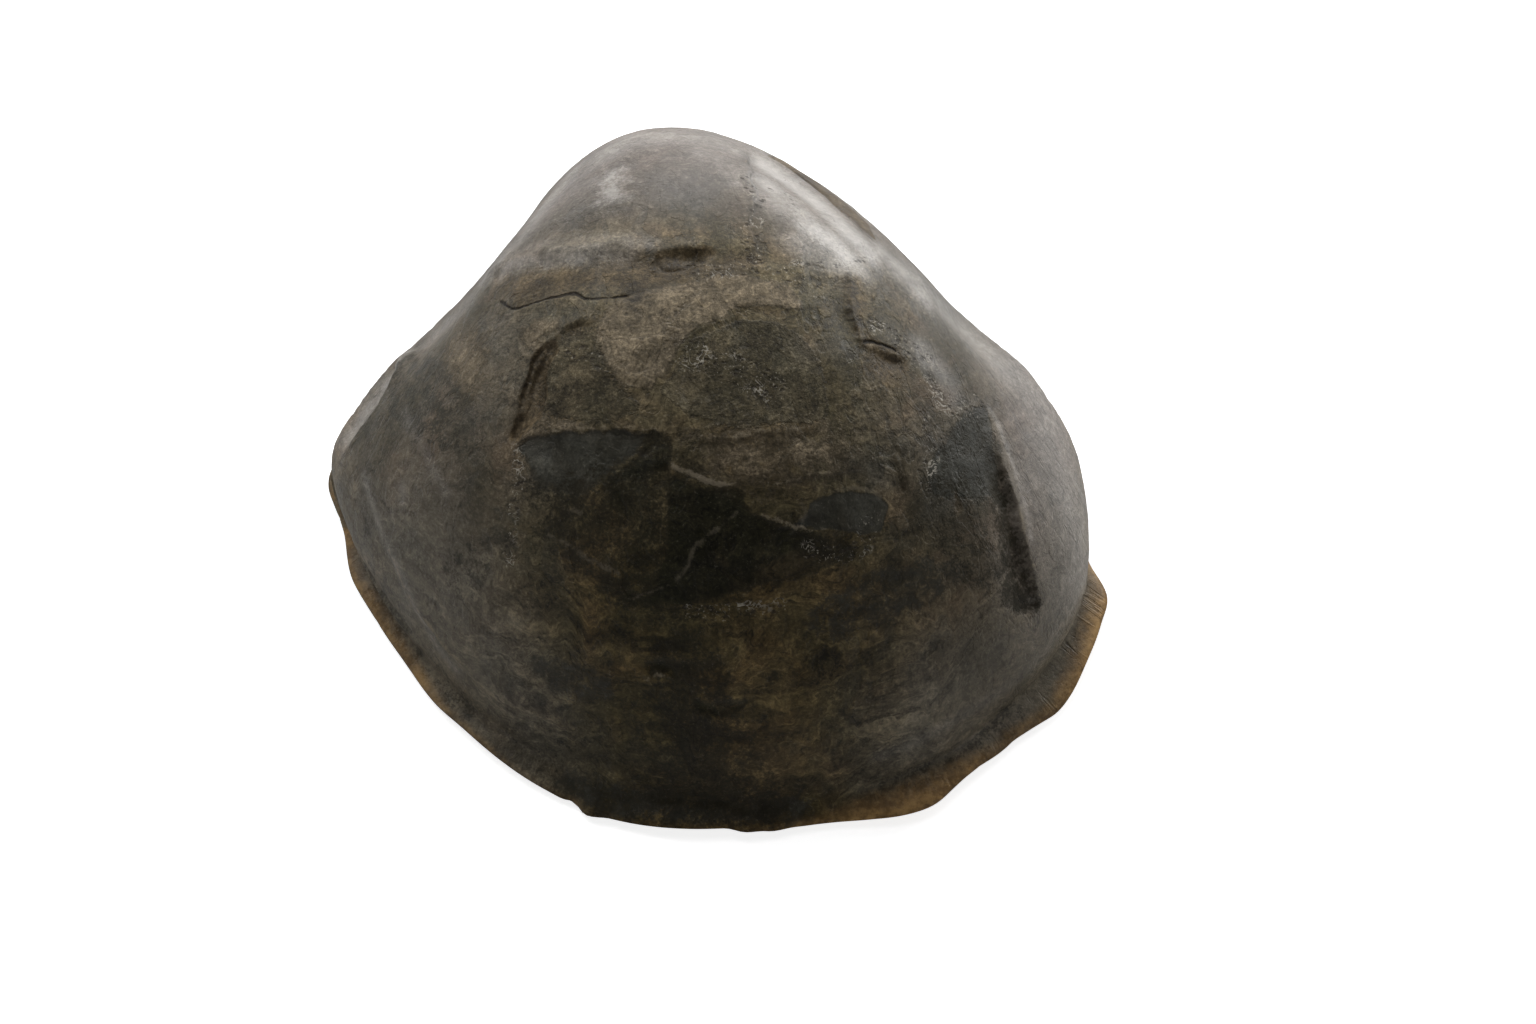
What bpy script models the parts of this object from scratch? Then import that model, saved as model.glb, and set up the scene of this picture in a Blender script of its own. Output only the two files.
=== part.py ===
"""Large brachiopod fossil: one strongly humped valve, lying on the edge where its two valves met.

The hump follows the way the shell grew. Every older edge is a smaller copy of the final edge,
turned back about the hinge line, so the middle line is a logarithmic spiral that ends in the beak.
"""

import math

import bmesh
import bpy

MM = 0.001

# Overall form (millimetres and degrees)
LEFT_HALF_WIDTH = 57.0
RIGHT_HALF_WIDTH = 67.0
HINGE_X = -5.3
HINGE_Y = 32.0
HINGE_Z = 3.0
GROWTH_DECAY = 0.385
BEAK_TURN = 170.0
BEAK_ROUNDNESS = 11.0
BEAK_LEAN = -5.6
LEAN_STARTS = 91.0
LEAN_ENDS = 148.0

# Flanks: extra half width on each side, greatest at the given growth angle
LEFT_FULLNESS = 8.8
LEFT_FULLEST_AT = 22.0
RIGHT_FULLNESS = 8.7
RIGHT_FULLEST_AT = 20.5

# The first, rounder edges of the young shell, and the angle at which they take over
YOUNG_HINGE_ANGLE = 77.0
YOUNG_FROM = 50.0

# Straight hinge line, and the share of the length over which each older edge runs in to it
HINGE_HALF_WIDTH = 36.0
HINGE_ZONE = 0.34

# Final edge seen from above, from the left hinge end round the front to the right hinge end
MARGIN = (
    (-42.0, 30.0), (-48.5, 26.5), (-54.5, 20.0), (-60.0, 13.0), (-63.3, 7.5), (-62.2, 3.0), (-61.0, -2.0),
    (-60.2, -6.0), (-58.8, -12.0), (-54.5, -19.0), (-50.5, -25.5), (-45.5, -34.0), (-40.0, -40.0),
    (-34.0, -45.5), (-27.5, -50.0), (-21.0, -53.0), (-10.5, -56.0), (4.0, -57.0), (17.5, -55.4),
    (25.5, -54.8), (32.5, -52.5), (37.5, -47.5), (44.5, -42.0), (51.5, -38.0), (55.5, -34.0),
    (58.5, -25.5), (61.0, -17.0), (60.3, -13.0), (58.6, -8.0), (57.0, 2.0), (53.0, 13.0),
    (47.5, 21.5), (40.0, 27.5), (30.0, 30.0),
)

# Thin rim that stands out round the foot of the hump: widths at the quarter points of the edge
RIM_WIDTHS = (0.5, 0.9, 0.7, 2.2, 0.5)
RIM_EVENING_PASSES = 24
RIM_EDGE_Z = 1.6
RIM_WAVE = 0.4
RIM_WAVES = 7

# Underside: a flat resting band just inside the edge, then a shallow hollow
UNDER_CENTRE = (0.0, -8.0)
HOLLOW_HALF_SIZES = (56.0, 42.0)
CENTRE_DEPTH = 4.7

# Loops of the underside: share of the way out from the centre, height, and how round the loop is
UNDER_LOOPS = (
    (0.925, 0.0, 0.0),
    (0.855, 0.0, 0.15),
    (0.60, 2.7, 0.7),
    (0.30, 4.2, 1.0),
)

# Mesh
EDGE_STEPS = 80
GROWTH_STEPS = 44


def smooth_step(value):
    """0 below 0, 1 above 1, and an S-shaped rise between them."""
    value = min(max(value, 0.0), 1.0)
    return value * value * (3.0 - 2.0 * value)


def evenly_spaced(points, count):
    """Points at equal distances along a line of many short pieces, both ends included."""
    lengths = [0.0]
    for before, after in zip(points, points[1:]):
        lengths.append(lengths[-1] + math.dist(before, after))
    spaced = []
    piece = 0
    for step in range(count + 1):
        target = lengths[-1] * step / count
        while piece < len(points) - 2 and lengths[piece + 1] < target:
            piece += 1
        share = (target - lengths[piece]) / (lengths[piece + 1] - lengths[piece])
        spaced.append(tuple(a + (b - a) * share for a, b in zip(points[piece], points[piece + 1])))
    return spaced


def curve_through(points, pieces=12):
    """A Catmull-Rom curve through the points, as many short pieces."""
    first = tuple(2 * a - b for a, b in zip(points[0], points[1]))
    last = tuple(2 * a - b for a, b in zip(points[-1], points[-2]))
    chain = (first, *points, last)
    curve = []
    for p0, p1, p2, p3 in zip(chain, chain[1:], chain[2:], chain[3:]):
        for step in range(pieces):
            t = step / pieces
            curve.append(
                tuple(
                    0.5 * (2 * b + (c - a) * t + (2 * a - 5 * b + 4 * c - d) * t * t
                           + (3 * b - a - 3 * c + d) * t ** 3)
                    for a, b, c, d in zip(p0, p1, p2, p3)
                )
            )
    curve.append(points[-1])
    return curve


def rim_width(share):
    """Width of the thin rim at a share of the way round the edge."""
    place = share * (len(RIM_WIDTHS) - 1)
    index = min(int(place), len(RIM_WIDTHS) - 2)
    blend = smooth_step(place - index)
    return RIM_WIDTHS[index] * (1 - blend) + RIM_WIDTHS[index + 1] * blend


def evened(outline):
    """The outline without its small waves: each point is drawn to its neighbours, pass after pass."""
    for _ in range(RIM_EVENING_PASSES):
        middles = []
        for before, here, after in zip(outline, outline[1:], outline[2:]):
            middles.append(tuple(0.25 * a + 0.5 * b + 0.25 * c for a, b, c in zip(before, here, after)))
        outline = [outline[0], *middles, outline[-1]]
    return outline


def inset(outline):
    """The outline moved inwards by the rim's width."""
    moved = []
    for index, (x, y) in enumerate(outline):
        before = outline[max(index - 1, 0)]
        after = outline[min(index + 1, len(outline) - 1)]
        along = (after[0] - before[0], after[1] - before[1])
        size = math.hypot(*along)
        width = rim_width(index / EDGE_STEPS)
        moved.append((x - along[1] / size * width, y + along[0] / size * width))
    return moved


def young_edge():
    """Edge of the young shell as shares of its half width and of its length: part of a circle."""
    start = math.radians(YOUNG_HINGE_ANGLE)
    rise = 1.0 + math.cos(start)
    points = []
    steps = EDGE_STEPS * 4
    for step in range(steps + 1):
        angle = start + (2 * math.pi - 2 * start) * step / steps
        points.append((-math.sin(angle), (math.cos(start) - math.cos(angle)) / rise))
    return evenly_spaced(points, EDGE_STEPS)


def flank(angle, fullness, fullest_at):
    """Extra half width at a growth angle."""
    share = angle / fullest_at
    return fullness * share * math.exp(1.0 - share)


def growth_angles():
    """Growth angles in degrees, at equal distances along the spiral."""
    whole = 1.0 - math.exp(-GROWTH_DECAY * math.radians(BEAK_TURN))
    for step in range(GROWTH_STEPS):
        left = 1.0 - whole * step / GROWTH_STEPS
        yield math.degrees(-math.log(left) / GROWTH_DECAY)


def growth_row(angle, foot, young):
    """One older edge of the shell: its points from the left hinge end to the right one."""
    size = math.exp(-GROWTH_DECAY * math.radians(angle))
    youth = smooth_step(angle / YOUNG_FROM)
    closing = math.sqrt(1.0 - (angle / BEAK_TURN) ** BEAK_ROUNDNESS)
    left = LEFT_HALF_WIDTH * size + flank(angle, LEFT_FULLNESS, LEFT_FULLEST_AT)
    right = RIGHT_HALF_WIDTH * size + flank(angle, RIGHT_FULLNESS, RIGHT_FULLEST_AT)
    lean = BEAK_LEAN * smooth_step((angle - LEAN_STARTS) / (LEAN_ENDS - LEAN_STARTS))
    length = max(reach for _, reach in foot)
    turn = math.radians(angle)
    row = []
    for (foot_x, reach), (young_side, young_share) in zip(foot, young):
        rightness = smooth_step(0.5 + young_side)
        width = left + (right - left) * rightness
        own_half = LEFT_HALF_WIDTH + (RIGHT_HALF_WIDTH - LEFT_HALF_WIDTH) * rightness
        side = (1 - youth) * (foot_x - HINGE_X) / own_half + youth * young_side
        share = (1 - youth) * reach / length + youth * young_share
        near_hinge = smooth_step(1.0 - share / HINGE_ZONE)
        x = lean + side * width
        hinge_x = math.copysign(HINGE_HALF_WIDTH * size, side)
        x += (hinge_x - x) * near_hinge
        out = share * length * size * closing
        row.append((HINGE_X + x * closing, HINGE_Y - out * math.cos(turn), HINGE_Z + out * math.sin(turn)))
    return row


def shell_rows():
    """Rows of the outside: the sharp edge, the foot of the hump, then every older edge."""
    outline = evenly_spaced(curve_through(MARGIN), EDGE_STEPS)
    foot = inset(evened(outline))
    slant = [foot[0][1] + (foot[-1][1] - foot[0][1]) * i / EDGE_STEPS for i in range(EDGE_STEPS + 1)]
    reaches = [(x, base - y) for (x, y), base in zip(foot, slant)]
    young = young_edge()
    edge = []
    for index, (x, y) in enumerate(outline):
        wave = RIM_WAVE * math.sin(2 * math.pi * RIM_WAVES * index / EDGE_STEPS)
        edge.append((x, y, RIM_EDGE_Z + wave))
    rows = [edge]
    for angle in growth_angles():
        rows.append(growth_row(angle, reaches, young))
    return rows


def under_loops(boundary):
    """Loops of the underside, from the resting band inwards."""
    centre_x, centre_y = UNDER_CENTRE
    half_x, half_y = HOLLOW_HALF_SIZES
    loops = []
    for share, height, roundness in UNDER_LOOPS:
        loop = []
        for x, y, _ in boundary:
            away_x = x - centre_x
            away_y = y - centre_y
            oval = 1.0 / math.hypot(away_x / half_x, away_y / half_y)
            reach = share * (1.0 + (oval - 1.0) * roundness)
            loop.append((centre_x + away_x * reach, centre_y + away_y * reach, height))
        loops.append(loop)
    return loops


def add_row(mesh, row):
    return [mesh.verts.new([value * MM for value in point]) for point in row]


def bridge(mesh, first, second):
    """Faces between two rows of equal length."""
    for index in range(len(first) - 1):
        mesh.faces.new((first[index], first[index + 1], second[index + 1], second[index]))


def build_shell():
    mesh = bmesh.new()
    rows = shell_rows()
    sheets = [add_row(mesh, row) for row in rows]
    for lower, upper in zip(sheets, sheets[1:]):
        bridge(mesh, lower, upper)
    tip_vertex = add_row(mesh, [(HINGE_X, HINGE_Y, HINGE_Z)])[0]
    for before, after in zip(sheets[-1], sheets[-1][1:]):
        mesh.faces.new((before, after, tip_vertex))

    right_end = [sheet[-1] for sheet in sheets[1:]]
    left_end = [sheet[0] for sheet in reversed(sheets[1:])]
    boundary = [*sheets[0], *right_end, tip_vertex, *left_end]
    places = [tuple(value / MM for value in vertex.co) for vertex in boundary]
    outer = boundary
    for loop in under_loops(places):
        inner = add_row(mesh, loop)
        bridge(mesh, [*inner, inner[0]], [*outer, outer[0]])
        outer = inner
    centre = add_row(mesh, [(*UNDER_CENTRE, CENTRE_DEPTH)])[0]
    for before, after in zip(outer, [*outer[1:], outer[0]]):
        mesh.faces.new((after, before, centre))
    bmesh.ops.remove_doubles(mesh, verts=mesh.verts, dist=0.00002)
    bmesh.ops.triangulate(mesh, faces=mesh.faces)
    bmesh.ops.recalc_face_normals(mesh, faces=mesh.faces)
    return mesh


def centre_on_floor(mesh):
    """Moves the shell so that the middle of its box stands over the origin and its lowest point is at 0."""
    places = [vertex.co for vertex in mesh.verts]
    low = [min(place[axis] for place in places) for axis in range(3)]
    high = [max(place[axis] for place in places) for axis in range(3)]
    shift = (-(low[0] + high[0]) / 2, -(low[1] + high[1]) / 2, -low[2])
    bmesh.ops.translate(mesh, verts=mesh.verts, vec=shift)


def fossil_material():
    material = bpy.data.materials.new("fossil_shell")
    material.use_nodes = True
    shader = material.node_tree.nodes["Principled BSDF"]
    shader.inputs["Base Color"].default_value = (0.075, 0.064, 0.052, 1.0)
    shader.inputs["Roughness"].default_value = 0.55
    shader.inputs["Metallic"].default_value = 0.0
    return material


def main():
    for leftover in list(bpy.data.objects):
        bpy.data.objects.remove(leftover, do_unlink=True)
    mesh = build_shell()
    centre_on_floor(mesh)
    data = bpy.data.meshes.new("brachiopod_shell")
    mesh.to_mesh(data)
    mesh.free()
    data.shade_smooth()
    data.set_sharp_from_angle(angle=math.radians(50))
    data.materials.append(fossil_material())
    shell = bpy.data.objects.new("brachiopod_shell", data)
    bpy.context.scene.collection.objects.link(shell)


main()
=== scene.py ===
import math
from functools import reduce
from types import SimpleNamespace
import bmesh
import bpy
import numpy as np
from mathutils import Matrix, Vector
from mathutils.bvhtree import BVHTree


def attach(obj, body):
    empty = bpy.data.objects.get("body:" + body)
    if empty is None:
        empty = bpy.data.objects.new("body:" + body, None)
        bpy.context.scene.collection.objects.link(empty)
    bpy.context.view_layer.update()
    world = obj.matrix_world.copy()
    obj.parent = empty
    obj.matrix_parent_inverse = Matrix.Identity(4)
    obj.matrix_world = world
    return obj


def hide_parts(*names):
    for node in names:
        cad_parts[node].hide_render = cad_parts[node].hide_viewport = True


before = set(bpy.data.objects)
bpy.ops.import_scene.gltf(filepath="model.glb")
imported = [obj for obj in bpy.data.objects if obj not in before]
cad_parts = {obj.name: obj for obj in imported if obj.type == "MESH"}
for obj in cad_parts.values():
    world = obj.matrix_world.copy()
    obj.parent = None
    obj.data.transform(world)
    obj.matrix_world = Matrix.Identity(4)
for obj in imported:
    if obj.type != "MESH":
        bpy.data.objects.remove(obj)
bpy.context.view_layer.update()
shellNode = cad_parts["brachiopod_shell"]
mm = 0.001

# The camera looks down on the fossil from the front edge of the shell.
cameraSettings = {
    "lens": 100.0,
    "sensorWidth": 36.0,
    "elevation": 60.0,  # degrees above the floor
    "distance": 0.670,
    "target": (0.0086, -0.0078, 0.0155),
    "clip": (0.01, 20.0),
    "picture": (1536, 1024),  # the frame that all picture points below are given in
}


def cameraAxes():
    tilt = math.radians(cameraSettings["elevation"])
    across = np.array((1.0, 0.0, 0.0))
    up = np.array((0.0, math.sin(tilt), math.cos(tilt)))
    back = np.array((0.0, -math.cos(tilt), math.sin(tilt)))
    eye = np.array(cameraSettings["target"]) + cameraSettings["distance"] * back
    return eye, across, up, back


def makeCamera():
    data = bpy.data.cameras.new("fossilCamera")
    data.lens = cameraSettings["lens"]
    data.sensor_width = cameraSettings["sensorWidth"]
    data.clip_start, data.clip_end = cameraSettings["clip"]
    camera = bpy.data.objects.new("fossilCamera", data)
    camera.location = cameraAxes()[0]
    camera.rotation_euler = (math.radians(90.0 - cameraSettings["elevation"]), 0.0, 0.0)
    bpy.context.scene.collection.objects.link(camera)
    bpy.context.scene.camera = camera
    bpy.context.view_layer.update()


# The middle of the frame, and the picture points of one metre seen from one metre away.
def frameScale():
    width, height = cameraSettings["picture"]
    return width / 2, height / 2, cameraSettings["lens"] / cameraSettings["sensorWidth"] * width


# Picture points of places in metres.
def pictureOf(places):
    eye, across, up, back = cameraAxes()
    middleX, middleY, scale = frameScale()
    away = places - eye
    depth = -(away @ back)
    x = middleX + scale * (away @ across) / depth
    y = middleY - scale * (away @ up) / depth
    return np.stack((x, y), axis=1)


def rayThrough(x, y):
    eye, across, up, back = cameraAxes()
    middleX, middleY, scale = frameScale()
    direction = (x - middleX) / scale * across - (y - middleY) / scale * up - back
    return Vector(eye), Vector(direction).normalized()


makeCamera()
print("camera placed")


# Small helpers for node trees: a value is either a socket to link or a plain number or colour, and a new node
# joins the tree of the first socket that it is given.
def feed(socket, value):
    if isinstance(value, bpy.types.NodeSocket):
        socket.id_data.links.new(value, socket)
    else:
        socket.default_value = (*value, 1.0) if socket.type == "RGBA" and len(value) == 3 else value


def addNode(tree, kind, inputs, **settings):
    node = tree.nodes.new(kind)
    for name, value in settings.items():
        setattr(node, name, value)
    for name, value in inputs.items():
        if value is not None:
            feed(node.inputs[name], value)
    return node


def addOutputs(kind, inputs, **settings):
    tree = next(value.id_data for value in inputs.values() if isinstance(value, bpy.types.NodeSocket))
    return addNode(tree, kind, inputs, **settings).outputs


def calc(operation, *values, clamp=False):
    return addOutputs("ShaderNodeMath", dict(enumerate(values)), operation=operation, use_clamp=clamp)[0]


def plus(first, second, clamp=False):
    return calc("ADD", first, second, clamp=clamp)


def minus(first, second):
    return calc("SUBTRACT", first, second)


def times(first, second):
    return calc("MULTIPLY", first, second)


def larger(first, second, clamp=False):
    return calc("MAXIMUM", first, second, clamp=clamp)


def centred(value):  # a noise round 0
    return minus(value, 0.5)


def wave(value, amount):  # a noise as a gain round 1
    return plus(times(centred(value), amount), 1.0)


def vectorCalc(operation, first, second=None, scale=None):
    return addOutputs("ShaderNodeVectorMath", {0: first, 1: second, "Scale": scale}, operation=operation)[0]


def noise(vector, scale, detail=2.0, roughness=0.5, distortion=0.0):
    inputs = {"Vector": vector, "Scale": scale, "Detail": detail, "Roughness": roughness, "Distortion": distortion}
    return addOutputs("ShaderNodeTexNoise", inputs)[0]


def ramp(value, low, high, start=0.0, end=1.0):
    inputs = {"Value": value, "From Min": low, "From Max": high, "To Min": start, "To Max": end}
    return addOutputs("ShaderNodeMapRange", inputs, interpolation_type="SMOOTHSTEP")[0]


def combine(x, y, z):
    return addOutputs("ShaderNodeCombineXYZ", {0: x, 1: y, 2: z})[0]


def split(vector):
    return addOutputs("ShaderNodeSeparateXYZ", {0: vector})


def blend(amount, first, second, way="MIX"):
    return addOutputs("ShaderNodeMix", {0: amount, 6: first, 7: second}, data_type="RGBA", blend_type=way)[2]


# A new node group: its tree, the sockets of what it is given, and the sockets of its results.
def makeGroup(name, kind, inputs, outputs):
    tree = bpy.data.node_groups.new(name, kind)
    for way, sockets in (("INPUT", inputs), ("OUTPUT", outputs)):
        for label, form in sockets.items():
            tree.interface.new_socket(label, in_out=way, socket_type="NodeSocket" + form)
    return tree, tree.nodes.new("NodeGroupInput").outputs, tree.nodes.new("NodeGroupOutput").inputs


# The shell: how its surface grew, and how fine its mesh is.
shellSettings = {
    "smoothLevels": 2,
    "mergeDistance": 0.000001,
    "joinAngles": (50.0, 80.0),  # degrees, for making quads of the triangles
    "creaseAngle": 50.0,  # degrees: a sharper edge keeps its crease
    "edgeCrease": 0.95,
    "hinge": (-0.0043, 0.0325, 0.003),  # middle of the hinge line
    "growthDecay": 0.385,  # how fast older edges get smaller
    "frontReach": 0.0885,  # hinge line to the front edge
    "leastReach": 0.004,
    "outsideTurn": (-0.75, -0.35),  # the normal's height where the underside turns into the outside
    "lineHeight": 0.00018,  # growth lines
    "linesPerGrowth": 46.0,
    "lineLength": 1.6,
    "waversPerMetre": 45.0,  # how the growth lines waver
    "waver": 0.012,
    "ribHeight": 0.00005,  # faint ribs that fan out from the beak
    "ribsAcross": 30.0,
    "ribBreaks": 3.0,
    "lumpHeight": 0.0007,  # broad unevenness
    "lumpsPerMetre": 42.0,
    "footRise": (-0.002, 0.004),  # heights over the hinge between which the unevenness sets in
    "seed": 7.0,
}

# Inputs of the growth tree: the kind of each, and the setting that fills it.
growthInputs = {
    "Levels": ("Int", "smoothLevels"), "Hinge": ("Vector", "hinge"), "Growth Decay": ("Float", "growthDecay"),
    "Front Reach": ("Float", "frontReach"), "Line Height": ("Float", "lineHeight"),
    "Lines Per Growth": ("Float", "linesPerGrowth"), "Rib Height": ("Float", "ribHeight"),
    "Ribs Across": ("Float", "ribsAcross"), "Lump Height": ("Float", "lumpHeight"),
    "Lumps Per Metre": ("Float", "lumpsPerMetre"), "Seed": ("Float", "seed"),
}


# The CAD shell as a clean quad mesh, with its rim creased.
def copyShell():
    source = shellNode.data
    points = [vertex.co.copy() for vertex in source.vertices]
    faces = [tuple(face.vertices) for face in source.polygons]
    mesh = bpy.data.meshes.new("fossilShell")
    mesh.from_pydata(points, [], faces)
    work = bmesh.new()
    work.from_mesh(mesh)
    bmesh.ops.remove_doubles(work, verts=work.verts, dist=shellSettings["mergeDistance"])
    flatness, squareness = (math.radians(angle) for angle in shellSettings["joinAngles"])
    bmesh.ops.join_triangles(work, faces=work.faces, angle_face_threshold=flatness, angle_shape_threshold=squareness)
    crease = work.edges.layers.float.new("crease_edge")
    for edge in work.edges:
        if len(edge.link_faces) == 2 and edge.calc_face_angle() > math.radians(shellSettings["creaseAngle"]):
            edge[crease] = shellSettings["edgeCrease"]
    work.to_mesh(mesh)
    work.free()
    mesh.shade_smooth()
    shell = bpy.data.objects.new("fossilShell", mesh)
    bpy.context.scene.collection.objects.link(shell)
    return shell


# Geometry Nodes: subdivide, then raise growth lines, ribs and broad lumps, and keep the growth coordinates.
def growthTree():
    inputs = {"Geometry": "Geometry", **{name: kind for name, (kind, _) in growthInputs.items()}, "Finish": "Material"}
    tree, given, result = makeGroup("shellGrowth", "GeometryNodeTree", inputs, {"Geometry": "Geometry"})
    tree.is_modifier = True
    creases = addNode(tree, "GeometryNodeInputNamedAttribute", {"Name": "crease_edge"}, data_type="FLOAT")
    smoothed = {"Mesh": given["Geometry"], "Level": given["Levels"], "Edge Crease": creases.outputs["Attribute"]}
    finer = addOutputs("GeometryNodeSubdivisionSurface", smoothed)["Mesh"]
    place = tree.nodes.new("GeometryNodeInputPosition").outputs[0]
    normal = tree.nodes.new("GeometryNodeInputNormal").outputs[0]
    across, forward, up = split(vectorCalc("SUBTRACT", place, given["Hinge"]))
    outside = ramp(split(normal)[2], *shellSettings["outsideTurn"])

    # growth runs from the front edge back to the beak, and fan runs from side to side
    reach = larger(calc("SQRT", plus(times(forward, forward), times(up, up))), shellSettings["leastReach"])
    older = times(calc("ARCTAN2", up, times(forward, -1.0)), given["Growth Decay"])
    inner = calc("LOGARITHM", calc("DIVIDE", given["Front Reach"], reach), math.e)
    growth = plus(times(older, outside), times(inner, minus(1.0, outside)))
    fan = calc("DIVIDE", across, reach)

    waver = times(noise(place, shellSettings["waversPerMetre"]), shellSettings["waver"])
    along = times(plus(growth, waver), given["Lines Per Growth"])
    lineSpace = combine(along, times(fan, shellSettings["lineLength"]), given["Seed"])
    lines = centred(noise(lineSpace, 1.0, 3.0, 0.6))
    ribSpace = combine(times(fan, given["Ribs Across"]), times(growth, shellSettings["ribBreaks"]), given["Seed"])
    ribs = centred(noise(ribSpace, 1.0))
    lumpSpace = vectorCalc("ADD", place, combine(given["Seed"], 0.0, 0.0))
    lumps = centred(noise(lumpSpace, given["Lumps Per Metre"], 2.0, 0.45))
    height = plus(times(lines, times(given["Line Height"], 2.0)), times(ribs, times(given["Rib Height"], 2.0)))
    height = plus(height, times(times(lumps, given["Lump Height"]), times(outside, 2.0)))
    standing = times(height, ramp(up, *shellSettings["footRise"]))  # the foot keeps its place

    moves = {"Geometry": finer, "Offset": vectorCalc("SCALE", normal, scale=standing)}
    last = addOutputs("GeometryNodeSetPosition", moves)[0]
    for name, value in (("growth", growth), ("fan", fan), ("outside", outside)):
        stored = {"Geometry": last, "Name": name, "Value": value}
        last = addOutputs("GeometryNodeStoreNamedAttribute", stored, data_type="FLOAT", domain="POINT")[0]
    whole = addOutputs("GeometryNodeRealizeInstances", {"Geometry": last})[0]
    feed(result[0], addOutputs("GeometryNodeSetMaterial", {"Geometry": whole, "Material": given["Finish"]})[0])
    return tree


# Keeps what an object's modifiers make as its plain mesh.
def settle(item):
    graph = bpy.context.evaluated_depsgraph_get()
    graph.update()
    mesh = bpy.data.meshes.new_from_object(item.evaluated_get(graph))
    item.modifiers.clear()
    item.data = mesh


def growShell(shell, finish):
    tree = growthTree()
    modifier = shell.modifiers.new("growth", "NODES")
    modifier.node_group = tree
    values = {name: shellSettings[setting] for name, (_, setting) in growthInputs.items()}
    values["Finish"] = finish
    for item in tree.interface.items_tree:
        if item.in_out == "INPUT" and item.name in values:
            modifier[item.identifier] = values[item.name]
    settle(shell)
    return shell


# Fills in what a feature doesn't say for itself.
def withDefaults(items, **defaults):
    return {name: {**defaults, **item} for name, item in items.items()}


patchKinds = ("slate", "brown", "dark", "rough", "tan", "shine")
lineKinds = ("crack", "scratch", "pale", "foot", "pitted", "glossAndPaintedHighlight")
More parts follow.
